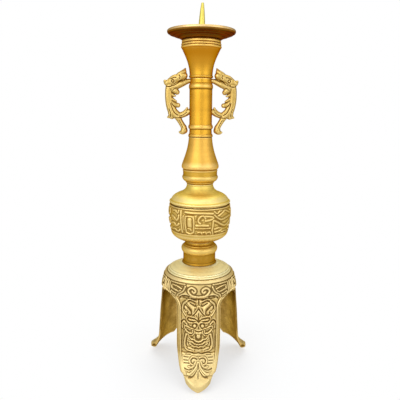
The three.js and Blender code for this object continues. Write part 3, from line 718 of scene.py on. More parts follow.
def ramp(value, start, end):
    """A soft step from 0 at the start to 1 at the end."""
    t = np.clip((value - start) / (end - start), 0, 1)
    return t * t * (3 - 2 * t)


print("halfway up a ramp the height is", ramp(0.5, 0, 1))

# %% [markdown]
# ## The bell and its three legs
# One casting: a bell with three arches cut out, so that three tongues are left, which flare at the foot
# into a rounded toe. It could be modelled by hand from a cylinder, but the carving needs an even net of
# corners that knows where it is on the leg. So each third of the bell is a net of its own: rows run down
# the outside, round the toe and back up the inside, and columns run across, squeezed between the arches.
# The three nets meet above the arches and are welded there.

# %% Even rows along an outline
def resampled(points, count):
    """The same bent line with evenly spaced points."""
    along = np.concatenate([[0], np.cumsum(np.hypot(*np.diff(points, axis=0).T))])
    at = np.linspace(0, along[-1], count + 1)
    return np.stack([np.interp(at, along, points[:, k]) for k in (0, 1)], -1)


def rows_along(*stretches):
    """Joins stretches of an outline, each resampled into its own number of steps."""
    rows = [resampled(points, count) for points, count in stretches]
    return np.vstack([rows[0]] + [more[1:] for more in rows[1:]])


print("a line of 10 mm in 4 even steps:", resampled(np.array([(0, 0), (10, 0)]), 4)[:, 0])

# %% Rows down the outside of the bell and up its inside
TRIPOD_TOP = section_heights["tripod"]
LEG_TOP, ARCH_CROWN, ARCH_SPRING = 97.6, 97.0, 84.5
LEG_HALF = 23.2
LEDGE = (47.0, 37.0)  # radius and height, here and for the toe
TOE_START, TOE_TOP = 57.6, 15.4
TOE_ROWS = 32
arch = outline((37.35, ARCH_CROWN), [(28.2, ARCH_CROWN), (23.6, 93.0), (LEG_HALF, ARCH_SPRING)], steps=60)
leg_line = np.array([LEDGE, (44.8, 67.7), (42.1, LEG_TOP)])
leg_heights = np.concatenate([[LEG_TOP, 97.3], arch[::3, 1], np.linspace(ARCH_SPRING, LEDGE[1], 82)[1:]])
leg_rows = np.stack([np.interp(leg_heights, leg_line[:, 1], leg_line[:, 0]), leg_heights], -1)

plate_and_band = rows_along(
    (outline((BORE, TRIPOD_TOP), (19.6, TRIPOD_TOP)), 3),
    (outline((19.6, TRIPOD_TOP), [(27.6, 123.6), (33.4, 120.4)]), 12),
    (outline((33.4, 120.4), [(34.6, 120.2), (34.7, 119.2)], (36.2, 118.0), (36.7, 117.2), (37.4, 117.0)),
     10),
    (outline((37.4, 117.0), [(39.4, 116.9), (39.9, 113.6)]), 7),
    (outline((39.9, 113.6), [(42.3, 106.7), (42.9, 98.4)]), 26),
    (outline((42.9, 98.4), (42.1, LEG_TOP)), 2))
toe_rows = rows_along(
    (outline(LEDGE, [(48.3, 27.0), (51.6, 18.4), (TOE_START, TOE_TOP)], steps=40), 64),
    (outline((TOE_START, TOE_TOP), [(62.0, 13.2), (65.4, 9.6), (66.2, 5.4)],
             [(66.7, 2.4), (65.6, 0.2), (62.8, 0.0)], steps=20), TOE_ROWS))
bell_outside = np.vstack([plate_and_band[:-1], leg_rows, toe_rows[1:]])
bell_inside = rows_along(
    (outline((63.0, 0.0), (59.8, 5.6)), 5),
    (outline((59.8, 5.6), [(54.6, 11.0), (45.4, 25.0), (43.4, 48.0)], steps=30), 34),
    (outline((43.4, 48.0), (40.9, ARCH_SPRING)), 32),
    (outline((40.9, ARCH_SPRING), (40.0, ARCH_CROWN)), 14),
    (outline((40.0, ARCH_CROWN), (39.8, 98.4), (35.8, 112.1), (31.8, 115.2), (17.85, 122.7), (BORE, 122.7)),
     24))[1:]
print(len(bell_outside), "rows outside and", len(bell_inside), "inside")

# %% How wide a leg is at each height
SIXTH = 60.0  # degrees from the middle of a leg to the middle of an arch
UNDERSIDE_TOP, PLAN_TOP = 30.0, 56.0  # below these, the underside and the plan of the toe narrow the leg
toe_plan = outline((LEG_HALF, 38.5), [(21.8, 46.5), (12.8, 67.0), (0.0, 67.0)], steps=60)
under_toe = outline((0.5, -0.25), [(6.0, 2.2), (21.5, 12.4), (LEG_HALF, 25.6)], steps=60)
plan_angle = np.degrees(np.arctan2(toe_plan[:, 0], toe_plan[:, 1]))[::-1]
plan_radius = np.hypot(*toe_plan.T)[::-1]


def half_width(height):
    """From the middle of a leg to its side, seen from the front."""
    low = np.interp(height, under_toe[:, 1], under_toe[:, 0])
    high = np.interp(height, arch[::-1, 1], arch[::-1, 0])
    return np.where(height < UNDERSIDE_TOP, low, np.where(height > ARCH_CROWN - 1e-6, FAR_AWAY, high))


def widest_angle(radius, height):
    """Half the angle of a leg at one row, in degrees."""
    from_front = np.degrees(np.arcsin(min(1.0, float(half_width(height)) / radius)))
    if height > PLAN_TOP:
        return min(SIXTH, from_front)
    tries = np.linspace(0, SIXTH, 1201)
    across, along = radius * np.sin(np.radians(tries)), radius * np.cos(np.radians(tries))
    limit = np.interp(along, toe_plan[:, 1], toe_plan[:, 0])
    past = np.nonzero(across > limit)[0]
    from_plan = tries[past[0]] if len(past) else SIXTH
    return min(from_front, from_plan)


toe_angle = widest_angle(TOE_START, TOE_TOP)
toe_inner_angle = widest_angle(59.8, 8.0)
print("a leg spans", round(2 * widest_angle(45.0, 60.0)), "degrees, its toe", round(2 * toe_angle))

# %% [markdown]
# ## What is carved on the bell
# Three fields on every leg. On the band, two volutes meet over the leg, and an angular fret fills the room
# on each side. On the leg, a pair of horned scrolls stands over a beast mask with round eyes, a broad nose
# and a lower jaw in curls, all inside a corded border. Under a ledge, two volutes and two leaves run out on
# the toe. Each line is (half-width, points). A point is (distance round the bell from the middle of the
# leg, height over the floor).

# %% Lines of the band
band_cords = {
    "volute": (1.3, [(0, 99.8), (6.5, 100.8), (10, 103), (11.8, 106), (10.5, 108.3), (7.7, 109.4),
                     (4.8, 108.2), (3.8, 106), (5.4, 104.3), (6.9, 105.6)]),
    "fret, outer side": (1.0, [(16, 112.3), (24, 112.2), (33, 112), (36.5, 111.4), (38.2, 105),
                               (39.4, 98.5)]),
    "fret, near side": (1.0, [(15.3, 110), (17.3, 106), (20.3, 103.2), (24, 101), (25.5, 97.5)]),
    "fret, upper arm": (0.9, [(19.5, 107.2), (25.5, 109), (32.8, 109.2), (32.8, 105.4)]),
    "fret, lower arm": (0.9, [(32.8, 105.4), (27.5, 104.6), (23.6, 104), (21.2, 105)]),
    "fret, foot": (0.8, [(27.5, 101), (31.5, 101.6), (35, 102.3), (35.8, 98.6)]),
    "divider": (1.1, [(44.3, 112), (44.3, 99.5)]),
    "side arm": (0.8, [(40.6, 111.5), (41, 105), (42, 100)]),
}

# %% Lines of the scrolls over the mask
scroll_cords = {
    "horn": (1.0, [(2.3, 94), (5.6, 95.6), (9, 96.8), (12.2, 96.2)]),
    "inner step": (0.8, [(4.4, 91.3), (6.9, 92.4), (9.3, 93.6)]),
    "broad band": (1.7, [(11.8, 92.2), (9.4, 89.4), (6.9, 87.1), (6.1, 84.2), (6.6, 81)]),
    "outer curl": (1.0, [(13.5, 94), (17.3, 90.6), (18.6, 86), (17.8, 82.4), (14.5, 78)]),
    "rolled end": (1.1, [(13.4, 86), (10.9, 84.2), (10.4, 81.9), (11.3, 81)]),
    "fork": (0.9, [(0.9, 89), (2, 85.7), (6.2, 80.3)]),
    "side of the leaflet": (0.7, [(3.7, 78.5), (1.3, 75)]),
}
scroll_cuts = {
    "under the horn": (0.9, [(3.5, 92.8), (6.4, 94.3), (9.3, 95.2), (11.8, 93.9)]),
    "in the step": (0.8, [(3.2, 90.9), (3.6, 89), (6.5, 90.7), (9.7, 92.4)]),
    "round the scroll": (0.9, [(15.2, 89.8), (11.9, 86.9), (8.6, 83.9), (7.9, 81.4), (8.8, 79.3),
                               (11.6, 79), (13.2, 80.7), (12.2, 81.8)]),
    "small loop": (0.8, [(14, 88.7), (16.1, 89.4), (16.9, 86.5), (15.1, 83.4)]),
    "fork": (0.8, [(0.4, 86), (3.3, 81.8), (5.8, 79.1)]),
    "centre drop": (1.0, [(0, 96), (0, 94), (0, 91.5)]),
    "midrib": (0.7, [(0, 81), (0, 76), (0, 71.7)]),
}

# %% Lines of the beast mask
mask_cords = {
    "inside of the brow": (0.9, [(4.6, 73.3), (7.4, 73.8), (10.4, 73.9)]),
    "top of the brow": (0.8, [(1.4, 74.6), (4, 76.7), (8, 77.3), (12.6, 77.3), (14, 74.5)]),
    "under the brow": (0.9, [(12.5, 71.7), (9.6, 70.4), (5, 71), (2.1, 71.3), (0, 69.3)]),
    "cheek line": (0.9, [(0, 62.6), (3, 63.4), (5.9, 64.3), (10.5, 65.3), (13, 66.4), (15.4, 66.3),
                         (16.2, 63)]),
    "ear": (0.9, [(13.2, 68.4), (15.2, 70.6), (17.2, 70.9), (18.6, 68.6), (18.4, 64)]),
    "first whisker": (0.9, [(14.7, 62.7), (12.8, 60.2), (9.8, 58.6), (6.9, 59.4), (6.3, 62.3)]),
    "second whisker": (0.9, [(4.3, 62), (4.6, 59.5), (6.7, 56.8), (9.8, 56.2)]),
    "upper lip": (0.9, [(0, 49.5), (2.8, 50.3), (5.2, 52.2), (8.2, 52.5), (10.2, 54.6)]),
    "lower lip": (0.9, [(0, 46.2), (4.5, 47), (6.7, 48.9)]),
    "fold of the mouth": (0.8, [(12.2, 50), (9.3, 48.9), (7.4, 49.4)]),
    "chin": (0.9, [(0, 43), (2.8, 44.4), (5.3, 43.6)]),
    "beard": (1.5, [(10.9, 42), (8, 41.2), (5.9, 40.4)]),
    "jaw": (1.2, [(13.8, 57), (15.1, 52), (15.8, 47), (15.4, 43.5), (13.7, 40.3), (10, 39), (5.5, 38.8)]),
    "second jaw line": (0.7, [(16.3, 60.5), (17.3, 54), (17.7, 47), (17.3, 42)]),
}
mask_cuts = {
    "brow": (0.7, [(0.8, 72.4), (3.7, 74.9), (7.9, 75.7), (11.7, 75.6), (12.3, 73.7), (10, 72.2),
                   (4.6, 72.2)]),
    "eye ring": (0.75, [(7.2, 67.6), (4.4, 70.3), (1.7, 67.6), (4.4, 64.9), (7.2, 67.6)]),
    "corner of the eye": (0.7, [(6.5, 65.8), (9.7, 66.3), (11.9, 68.6)]),
    "between the eyes": (1.1, [(0, 66.1), (0, 64.7)]),
    "bridge of the nose": (0.8, [(0, 60.9), (2.2, 61.3), (3.7, 62.3)]),
    "in the whiskers": (0.9, [(12.4, 62.4), (10.3, 61), (8.2, 61.4)]),
    "cheek": (0.8, [(8, 57.4), (11, 57.6), (12.2, 59)]),
    "round the ear": (0.9, [(13.8, 70.9), (15, 72.5), (17.5, 73.1), (20.2, 70)]),
    "ear hole": (1.0, [(15.6, 68.6), (15.3, 67.9)]),
    "round the nose": (1.4, [(2.9, 57.2), (3, 54.8), (2.2, 52.9), (0, 52)]),
    "mouth": (0.9, [(0, 47.9), (3.6, 48.7), (6.1, 50.7), (8.2, 51), (10.4, 53.2)]),
    "corner of the mouth": (1.3, [(6.1, 46.6), (6.1, 46.1)]),
    "behind the mouth": (0.8, [(11.6, 48.8), (11, 46.2), (8.5, 44.3)]),
    "chin": (0.8, [(0, 41), (3.7, 41.6)]),
    "under the lip": (0.7, [(0, 44.7), (2.9, 45.8), (5, 45.3)]),
    "inside of the jaw": (0.7, [(12.4, 56), (13.6, 50), (13.9, 45.5), (12.6, 42.8)]),
}
mask_bosses = {
    "eye": ((4.4, 67.6), 2.2, 1.7),
    "nose": ((0, 55.6), 2.4, 0.5),
    "cheek": ((9.6, 46.3), 1.9, 0.7),
}

# %% Lines of the toe
toe_cords = {
    "stem and leaf": (1.0, [(0.6, 27), (2.1, 22.8), (5, 19.3), (8.7, 16.9), (12.4, 17), (14.6, 18.9)]),
    "inside of the leaf": (0.9, [(4.6, 23.6), (7, 22), (10.6, 22.4)]),
    "volute": (0.9, [(1, 31.6), (3.8, 32.4), (7, 32), (9.4, 29), (8.9, 25.8), (6, 24.4)]),
}
toe_cuts = {
    "bar one": (0.8, [(8.9, 34.6), (14.7, 34.2)]),
    "bar two": (0.8, [(11.7, 31.4), (16.3, 31.2)]),
    "bar three": (0.8, [(12.1, 28.2), (16.3, 28)]),
    "bar four": (0.8, [(10.1, 25.6), (15.8, 25.3)]),
    "volute": (0.9, [(1.7, 29.7), (3.8, 30.7), (6.3, 30.4), (7.8, 28.5), (7.4, 26.5), (5.4, 25.9),
                     (4.4, 27.3)]),
    "under the stem": (0.8, [(0, 25.3), (0.3, 21.5), (2.9, 17.7), (6.4, 15.2), (10, 14.9)]),
    "in the leaf": (0.8, [(7.2, 20.3), (11, 19.6), (15.1, 20.6)]),
    "tip": (0.7, [(0, 19), (0, 16), (0, 14.4)]),
    "side lines": (0.6, [(2.6, 13), (3.2, 9.5), (2.6, 6.5)]),
}

# %% Put the carving together
BORDER = 3.3  # from the edge of a leg to the cord along it
HEM_REACH = 23.0  # the hem of the band casts its groove this far from the middle of a leg
LEG_CORDS, LEG_CUTS = 1.0, 0.95  # heights and depths of the lines
TOE_CORDS, TOE_CUTS = 0.65, 0.5
BAND_CORDS = 1.3
band_hem = [(0, LEG_TOP), (5, 98.0), (9, 99.4), (11.5, 100.8), (15, 101.2), (19, 100.4), (22.5, 97.9),
            (25, 97), (45, 96.9)]


def groove(height, middle, width):
    """1 at the middle, and close to 0 two widths away."""
    return np.exp(-((height - middle) / width) ** 2)


def band_carving(x, height):
    """Cords on a ground that sinks towards the arches and runs out under the plate."""
    ground = -0.5 - 1.2 * ramp(x, 31.0, 40.0)
    return (ground + BAND_CORDS * drawn(band_cords, x, height)) * (1 - ramp(height, 113.0, 114.5))


def leg_carving(x, height, under_hem):
    """Scrolls and mask, on a face that swells a little in the middle."""
    swell = 0.9 * np.exp(-(x / 9.5) ** 2 - ((height - 56) / 13.0) ** 2)
    lines = LEG_CORDS * drawn({**scroll_cords, **mask_cords}, x, height)
    relief = swell - 0.5 + np.maximum(lines, bosses(mask_bosses, x, height))
    return relief - LEG_CUTS * drawn({**scroll_cuts, **mask_cuts}, x, height) - 0.4 - 1.3 * under_hem


def toe_carving(x, height, wave):
    """Leaves and volutes under a ledge that is cut in along a wave."""
    lines = TOE_CORDS * drawn(toe_cords, x, height) - TOE_CUTS * drawn(toe_cuts, x, height)
    under_ledge = 0.8 * ramp(height, 20.0, 37.0) + 1.1 * groove(height + wave, 36.4, 0.9)
    return lines * ramp(height, 12.6, 14.5) - under_ledge


def bell_carving(around, height, to_edge):
    """The height of the relief on one third of the bell."""
    x = np.abs(around)
    hem = np.interp(x, *flow(band_hem).T)
    on_band = ramp(height - hem, -0.4, 0.2)
    under_hem = groove(height - hem, -0.9, 0.95) * (x < HEM_REACH)
    wave = 0.5 * np.cos(np.clip(x - 4.2, -4.2, 14) * 0.55)
    on_toe = 1 - ramp(height, LEDGE[1] - wave, LEDGE[1] + 0.9 - wave)
    leg_and_toe = leg_carving(x, height, under_hem) * (1 - on_toe) + toe_carving(x, height, wave) * on_toe
    cord = 0.55 * round_top(np.abs(to_edge - BORDER) / 1.1)
    border = cord * ramp(height, 24.0, 40.0) * (1 - ramp(height, 105.0, 108.0))
    inside = np.maximum(ramp(to_edge, BORDER + 0.5, BORDER + 1.2), ramp(height, 95.0, ARCH_CROWN))
    return border + on_band * band_carving(x, height) + (1 - on_band) * inside * leg_and_toe


lines_on_bell = [band_cords, scroll_cords, scroll_cuts, mask_cords, mask_cuts, toe_cords, toe_cuts]
print("lines on half a leg and half a band:", sum(map(len, lines_on_bell)))

# %% The columns of the net
COLUMNS = 160
CROWDING = 72  # degrees: the columns stand closer towards the edges of a leg, as the steps of a sine do
spread = np.sin(np.radians(np.linspace(-CROWDING, CROWDING, COLUMNS))) / math.sin(math.radians(CROWDING))


def angles_of(rows, toe_value):
    """Half-angles of the rows. Those round the toe keep one value."""
    round_toe = (rows[:, 1] < TOE_TOP + 0.1) & (rows[:, 0] > TOE_START - 0.1)
    return np.where(round_toe, toe_value, [widest_angle(radius, height) for radius, height in rows])


print("the widest gap between columns is", round(np.diff(spread).max() * LEG_HALF, 2), "mm")

# %% The net of one third of the bell
EDGE_DRAW = 1.4  # how far the inside comes out towards the open edges of a leg
TOE_WALL = 0.4
PLAN_CORNER = 0.9


def soft_min(a, b, width):
    """The smaller of two lengths, with a rounded corner where they meet."""
    low, high = np.minimum(a, b), np.maximum(a, b)
    return low - width * np.log1p(np.exp(-(high - low) / width))


def net(rows, half_angles, outside):
    """Radius, angle and height of the corners, kept inside the plan of the toe and above its underside."""
    angle = half_angles[:, None] * spread[None, :]
    radius = np.repeat(rows[:, :1], COLUMNS, 1)
    height = np.repeat(rows[:, 1:], COLUMNS, 1)
    limit = np.interp(np.abs(angle), plan_angle, plan_radius)
    if not outside:
        limit = limit - TOE_WALL
        open_edge = np.clip((height - 16.0) / 10.0, 0, 1) * np.clip((ARCH_CROWN - height) / 8.0, 0, 1)
        radius = radius + EDGE_DRAW * open_edge * np.abs(spread[None, :]) ** 7
    low = np.clip((45.0 - height) / 15.0, 0, 1)
    radius = radius * (1 - low) + soft_min(radius, limit, PLAN_CORNER) * low
    keel = np.interp(np.abs(radius * np.sin(np.radians(angle))), under_toe[:, 0], under_toe[:, 1])
    keel = np.clip(keel, 0, TOE_TOP)
    near_toe = (radius > 50) & (height < TOE_TOP + 0.1)
    height = np.where(near_toe, keel + height * (TOE_TOP - keel) / TOE_TOP, height)
    return radius, angle, height


def set_round(radius, angle, height):
    """Corners at an angle from the middle of the front leg."""
    turn = np.radians(angle)
    return np.stack([radius * np.sin(turn), -radius * np.cos(turn), height], -1)


def row_normals(rows):
    """The outward direction (radius, height) at each row of an outline that runs downwards."""
    along = np.gradient(rows, axis=0)
    along /= np.linalg.norm(along, axis=1)[:, None]
    return np.stack([-along[:, 1], along[:, 0]], -1)


print("a net has", (len(bell_outside) + len(bell_inside)) * COLUMNS, "corners")

# %% Close the edges of a leg
def fill_edge(outer, inner, flip):
    """Triangles between the outer and the inner edge of a leg, both listed from the arch down."""
    def fractions(line):
        along = np.concatenate([[0], np.cumsum(np.linalg.norm(np.diff(line[1], axis=0), axis=1))])
        return along / along[-1]
    a, b = fractions(outer), fractions(inner)
    faces, i, k = [], 0, 0
    while i < len(a) - 1 or k < len(b) - 1:
        if k == len(b) - 1 or (i < len(a) - 1 and a[i + 1] <= b[k + 1]):
            face = [outer[0][i], outer[0][i + 1], inner[0][k]]
            i += 1
        else:
            face = [outer[0][i], inner[0][k + 1], inner[0][k]]
            k += 1
        faces.append(face[::-1] if flip else face)
    return faces


def leg_edge(angles):
    """The edge of a leg as (distance round the bell, height), from the crown of the arch to the toe."""
    radius, height = bell_outside.T
    is_open = (angles < SIXTH - 0.01) & (height > 13) & (height < ARCH_CROWN)
    side = radius[is_open] * np.radians(angles[is_open])
    return np.vstack([[(SIXTH, ARCH_CROWN)], np.stack([side, height[is_open]], -1)[::2]])


print("three corners and two are closed by", len(fill_edge(
    (range(3), np.eye(3)), (range(2), np.eye(2, 3)), False)), "triangles")

# %% Carve the outside of one third
EDGE_ROUND = 0.9
outer_angles = angles_of(bell_outside, toe_angle)
to_sole = np.linspace(0, 1, TOE_ROWS + 1)
outer_angles[-len(to_sole):] = toe_angle + (toe_inner_angle - toe_angle) * to_sole


def carved_outside():
    """Rows of corners, raised and sunk by the carving, with the edges of the leg rounded off."""
    radius, angle, height = net(bell_outside, outer_angles, True)
    around = radius * np.radians(angle)
    to_edge = away_from(leg_edge(outer_angles), np.abs(around), height)
    past_round = np.clip(EDGE_ROUND - to_edge, 0, EDGE_ROUND)
    rounding = EDGE_ROUND - np.sqrt(np.clip(EDGE_ROUND ** 2 - past_round ** 2, 0, None))
    rise = bell_carving(around, height, to_edge) - rounding * np.clip((height - 30) / 15, 0, 1)
    print("the carving goes from", round(rise.min(), 2), "to", round(rise.max(), 2), "mm")
    out = row_normals(bell_outside)
    return set_round(radius + rise * out[:, :1], angle, height + rise * out[:, 1:])


outside_of_third = carved_outside()

# %% Give the third its inside, its faces and its finishes
ANTIQUE, INSIDE, PLATE = 0, 1, 2  # the finishes of the bell, in the order in which the piece has them
PLATE_FOOT = 117.6
PLATE_ROWS = int((bell_outside[:, 1] > PLATE_FOOT).sum())


def third_of_bell():
    """The corners of one net, the faces between them and the finish of each face."""
    inside = set_round(*net(bell_inside, angles_of(bell_inside, toe_inner_angle), False))
    whole = np.concatenate([outside_of_third, inside])
    rows, count = len(whole), len(outside_of_third)
    index = np.arange(rows * COLUMNS).reshape(rows, COLUMNS)
    below = np.roll(index, -1, 0)
    quads = np.stack([index[:, :-1], below[:, :-1], below[:, 1:], index[:, 1:]], -1).reshape(-1, 4).tolist()
    row = np.repeat(np.arange(rows), COLUMNS - 1)
    finish_of = np.where(row >= count, INSIDE, np.where(row < PLATE_ROWS, PLATE, ANTIQUE)).tolist()
    start = int(np.nonzero(bell_outside[:, 1] > ARCH_CROWN - 1e-6)[0][-1])
    stop = count + int(np.nonzero(bell_inside[:, 1] > ARCH_CROWN - 1e-6)[0][0])
    for column, flip in ((COLUMNS - 1, False), (0, True)):
        outer = index[start:count, column], whole[start:count, column]
        inner = index[count:stop + 1, column][::-1], whole[count:stop + 1, column][::-1]
        quads += fill_edge(outer, inner, flip)
    finish_of += [INSIDE] * (len(quads) - len(finish_of))
    return whole.reshape(-1, 3), quads, finish_of


third = third_of_bell()
print("a third has", len(third[0]), "corners and", len(third[1]), "faces")

# %% Three thirds make the bell
def whole_bell():
    """The third set round the axis three times. make_piece welds the seams."""
    corners, faces, finish_of = third
    all_corners, all_faces = [], []
    for k in range(3):
        turn = 2 * math.pi * k / 3
        c, s = math.cos(turn), math.sin(turn)
        all_faces += [[f + k * len(corners) for f in face] for face in faces]
        all_corners.append(corners @ np.array([[c, s, 0], [-s, c, 0], [0, 0, 1]]))
    return np.vstack(all_corners), all_faces, finish_of * 3


corners, faces, finish_of = whole_bell()
bell = make_piece("bell", corners, faces, antique_gold, "stand", ["tripod_base"], "cast_gold",
                  others=[inner_gold, plate_gold_painted_light], which=finish_of)
# Painted shade inside the bell, darker towards the crown of the arches, where little light reaches.
mark(bell, "painted_shade", lambda z: np.clip((z - 64.0) / 28.0, 0, 1) ** 1.5)
# A painted highlight, lighter on the toes and on the band.
mark(bell, "painted_highlight", lambda z: 0.3 * np.clip((37.0 - z) / 6.0, 0, 1)
     + 0.15 * np.clip((z - 96.0) / 4.0, 0, 1))

# %% [markdown]
# ## The drum
# A cast barrel with a carved band under its cap. It is turned like the other sections, but its outside has
# many more rows, because the carving moves them.

# %% Lines of the drum's frieze
# Degrees round the drum from the front, and height over the foot of the drum. Half of the frieze; the
# other half is the same again.
frieze_cords = {
    "top bar": (1.2, [(-27, 39.6), (-12, 39.2), (8, 39), (25, 38.4)]),
    "frame, left side": (1.0, [(-26.3, 34.8), (-27, 30), (-26.6, 24), (-25.4, 17.2)]),
    "frame, right side": (1.0, [(-11.8, 35), (-10.8, 30), (-10.6, 24), (-11.6, 18)]),
    "frame, top": (1.0, [(-26.3, 34.8), (-19, 35.6), (-11.8, 35)]),
    "frame, foot": (1.1, [(-24.8, 17.2), (-18, 15.9), (-12, 17.8)]),
    "slab": (2.6, [(-18.6, 31.6), (-18.4, 25.6)]),
    "slab foot": (0.8, [(-22, 21.8), (-17, 21.4), (-15.6, 19.4)]),
    "thin pillar": (0.9, [(-31, 35), (-30.4, 27), (-30, 20)]),
    "pillar": (1.2, [(-36, 40.5), (-35.5, 30), (-34.5, 17)]),
    "wave one": (1.2, [(-57, 39.6), (-50, 39.6), (-44, 37.6), (-41, 40.4)]),
    "wave two": (1.2, [(-60, 33), (-53, 31.6), (-47, 29.4), (-42, 32), (-41, 35)]),
    "wave three": (1.2, [(-62, 24.8), (-55, 25.4), (-48, 23.2), (-42, 25.4)]),
    "wave four": (1.1, [(-62, 18), (-54, 18.6), (-46, 17), (-40, 19)]),
    "hook": (1.0, [(11, 33.2), (7.8, 36), (3.4, 36.2), (-1, 33.6), (-2.4, 30.4), (1, 27.8)]),
    "arm": (1.2, [(10.5, 35.8), (18, 35.6), (25.5, 34), (20, 31.8), (11.5, 31)]),
    "step": (1.3, [(-6, 25.6), (5, 25.9), (15.5, 25.4)]),
    "lower bar": (0.9, [(-8, 22.6), (6, 22.4), (20, 22.5)]),
    "claw one": (0.9, [(-3, 17.9), (2, 18.4), (4.5, 16.4)]),
    "claw two": (0.9, [(6.6, 17.8), (11, 18.4), (13.5, 16.4)]),
    "claw three": (0.9, [(15.6, 17.8), (19.8, 18.2), (22, 16.2)]),
    "post": (1.0, [(25.2, 31), (25, 25), (24.2, 20), (26, 15.8)]),
    "outer peak": (1.1, [(28, 36.6), (35, 33), (44, 30.8), (57, 32), (70, 32.8), (78, 31)]),
    "inner peak": (1.0, [(28.6, 40), (33, 38), (39, 40.2), (44, 40.6)]),
    "peak arm": (1.0, [(36.6, 35.2), (45, 37.6), (53, 39.9), (62, 38.4), (70, 36.4)]),
    "wavy line": (1.1, [(27, 30.6), (34, 28.7), (43, 25.6), (54, 23.4), (64, 24.6), (74, 27)]),
    "leaf": (1.0, [(29.5, 21), (38, 21.8), (46, 20.4), (41, 18.2), (31.5, 17.4)]),
    "low bar": (0.9, [(49, 16.2), (57, 16.8), (66, 15.9)]),
    "last scroll": (1.1, [(76, 38.6), (84, 39), (88, 34), (84, 29.6), (79, 31.8)]),
    "last wave": (1.1, [(70, 21.4), (78, 22.8), (86, 20.6), (92, 23.6), (98, 28)]),
    "last post": (1.1, [(95, 39.8), (96, 35), (103, 33.4), (110, 35.4), (112, 39.6)]),
    "last curl": (1.1, [(74, 16.8), (84, 16), (93, 17.6), (104, 16.4), (112, 18.4)]),
    "last arm": (1.0, [(101, 28), (107, 29.4), (113, 27.4), (110, 23.4), (102, 22.4)]),
}
frieze_cuts = {
    "under the top bar": (0.8, [(-26, 37.1), (-12, 37.1), (3, 37.9)]),
    "in the hook": (1.1, [(6.6, 33.6), (3.6, 32.2), (2.6, 30.8), (5.6, 29.6)]),
    "round the hook": (0.8, [(11.4, 38.2), (5, 38.1), (-3.4, 36.4), (-6, 31.4)]),
    "by the slab": (0.8, [(-23.6, 33.4), (-23.7, 28), (-23, 22.8)]),
    "by the slab, right": (0.8, [(-13.6, 33.6), (-13.6, 28), (-13.6, 22.8)]),
    "under the bar": (1.1, [(-6, 20.5), (8, 20.4), (22, 20.4)]),
    "right dark line": (1.0, [(25.6, 28.2), (35, 26.2), (43, 23.1), (54, 20.9), (63, 20.4)]),
    "under the peak": (1.0, [(31, 33), (36, 30.6), (44, 28.4), (56, 29.4), (70, 29.8)]),
    "in the peak": (0.9, [(31, 36.6), (38, 37.9), (46, 40.4)]),
    "under the leaf": (0.8, [(30.5, 15.2), (36, 16.6), (46, 18)]),
}


FRIEZE_START = -68  # degrees
DRUM_RADIUS = 34.6  # where the frieze is
MM_PER_DEGREE = DRUM_RADIUS * math.radians(1)
WIDER = 1.35  # the lines are cut that much wider than they are listed
GROUND, CORD_HEIGHT, CUT_DEPTH = 1.15, 1.3, 0.45


def rolled_out(lines):
    """The lines of the frieze with their degrees turned into millimetres round the drum."""
    return {name: (WIDER * half, [(degrees * MM_PER_DEGREE, z) for degrees, z in points])
            for name, (half, points) in lines.items()}


def drum_carving(degrees, height):
    """The height of the frieze on the drum, which sinks into the barrel between its cords."""
    x = ((degrees - FRIEZE_START) % 180 + FRIEZE_START) * MM_PER_DEGREE
    field = ramp(height, 14.3, 15.2) * (1 - ramp(height, 41.4, 42.3))
    cords = drawn(rolled_out(frieze_cords), x, height)
    cuts = drawn(rolled_out(frieze_cuts), x, height)
    return field * (-GROUND + CORD_HEIGHT * cords - CUT_DEPTH * cuts * (1 - cords))


print(len(frieze_cords), "cords and", len(frieze_cuts), "cuts on half of the drum")

# %% The drum and its carved band
drum_outside = rows_along(
    (outline((15.2, 0), (15.5, 0.8)), 2),
    (outline((15.5, 0.8), [(29.8, 5.1), (31.9, 11.2)]), 20),
    (outline((31.9, 11.2), [(35.1, 24.0), (35.1, 31.7)]), 46),
    (outline((35.1, 31.7), [(35.1, 38.4), (34.5, 41.8)], (34.1, 43.2)), 28),
    (outline((34.1, 43.2), (31.6, 43.5), (31.3, 44.7)), 5))
drum_inside = [(27.6, 44.1), (27.6, 40.0), (26.0, 39.0), (26.0, 38.4), (31.5, 30.9), (29.9, 15.4),
               (18.2, 7.0), (ROD_HOLE, 3.6), *spigot_line]
DRUM_SIDES = 480
corners, faces = spin(np.vstack([drum_outside, drum_inside]), DRUM_SIDES)
outside = corners[:len(drum_outside) * DRUM_SIDES]
degrees = np.degrees(np.arctan2(outside[:, 0], -outside[:, 1]))
radius = np.hypot(outside[:, 0], outside[:, 1])
outside[:, :2] *= (1 + drum_carving(degrees, outside[:, 2]) / radius)[:, None]
corners[:, 2] += drum_seat
drum_barrel = make_piece("drum_barrel", corners, faces, drum_gold, "stand", ["drum"], "cast_gold")
# Painted shade along the top of the drum, in the gap under the cap.
mark(drum_barrel, "painted_shade", lambda z: (z > drum_seat + 43.3) * 1.0)

# %% [markdown]
# ## The dragon handles
# Each handle is a flat casting of a dragon that bites the top of the neck and grips the tube with its
# claw. A dragon is made of limbs, so it is drawn as limbs: every one is a line with a width at each point,
# swept into a rounded body. Voxel remeshing melts the limbs into one skin, as wax models are melted
# together before casting, and the eye, the mouth, the mane and the joints are then cut into that skin.

# %% Sweep a limb
THINNEST = 0.35


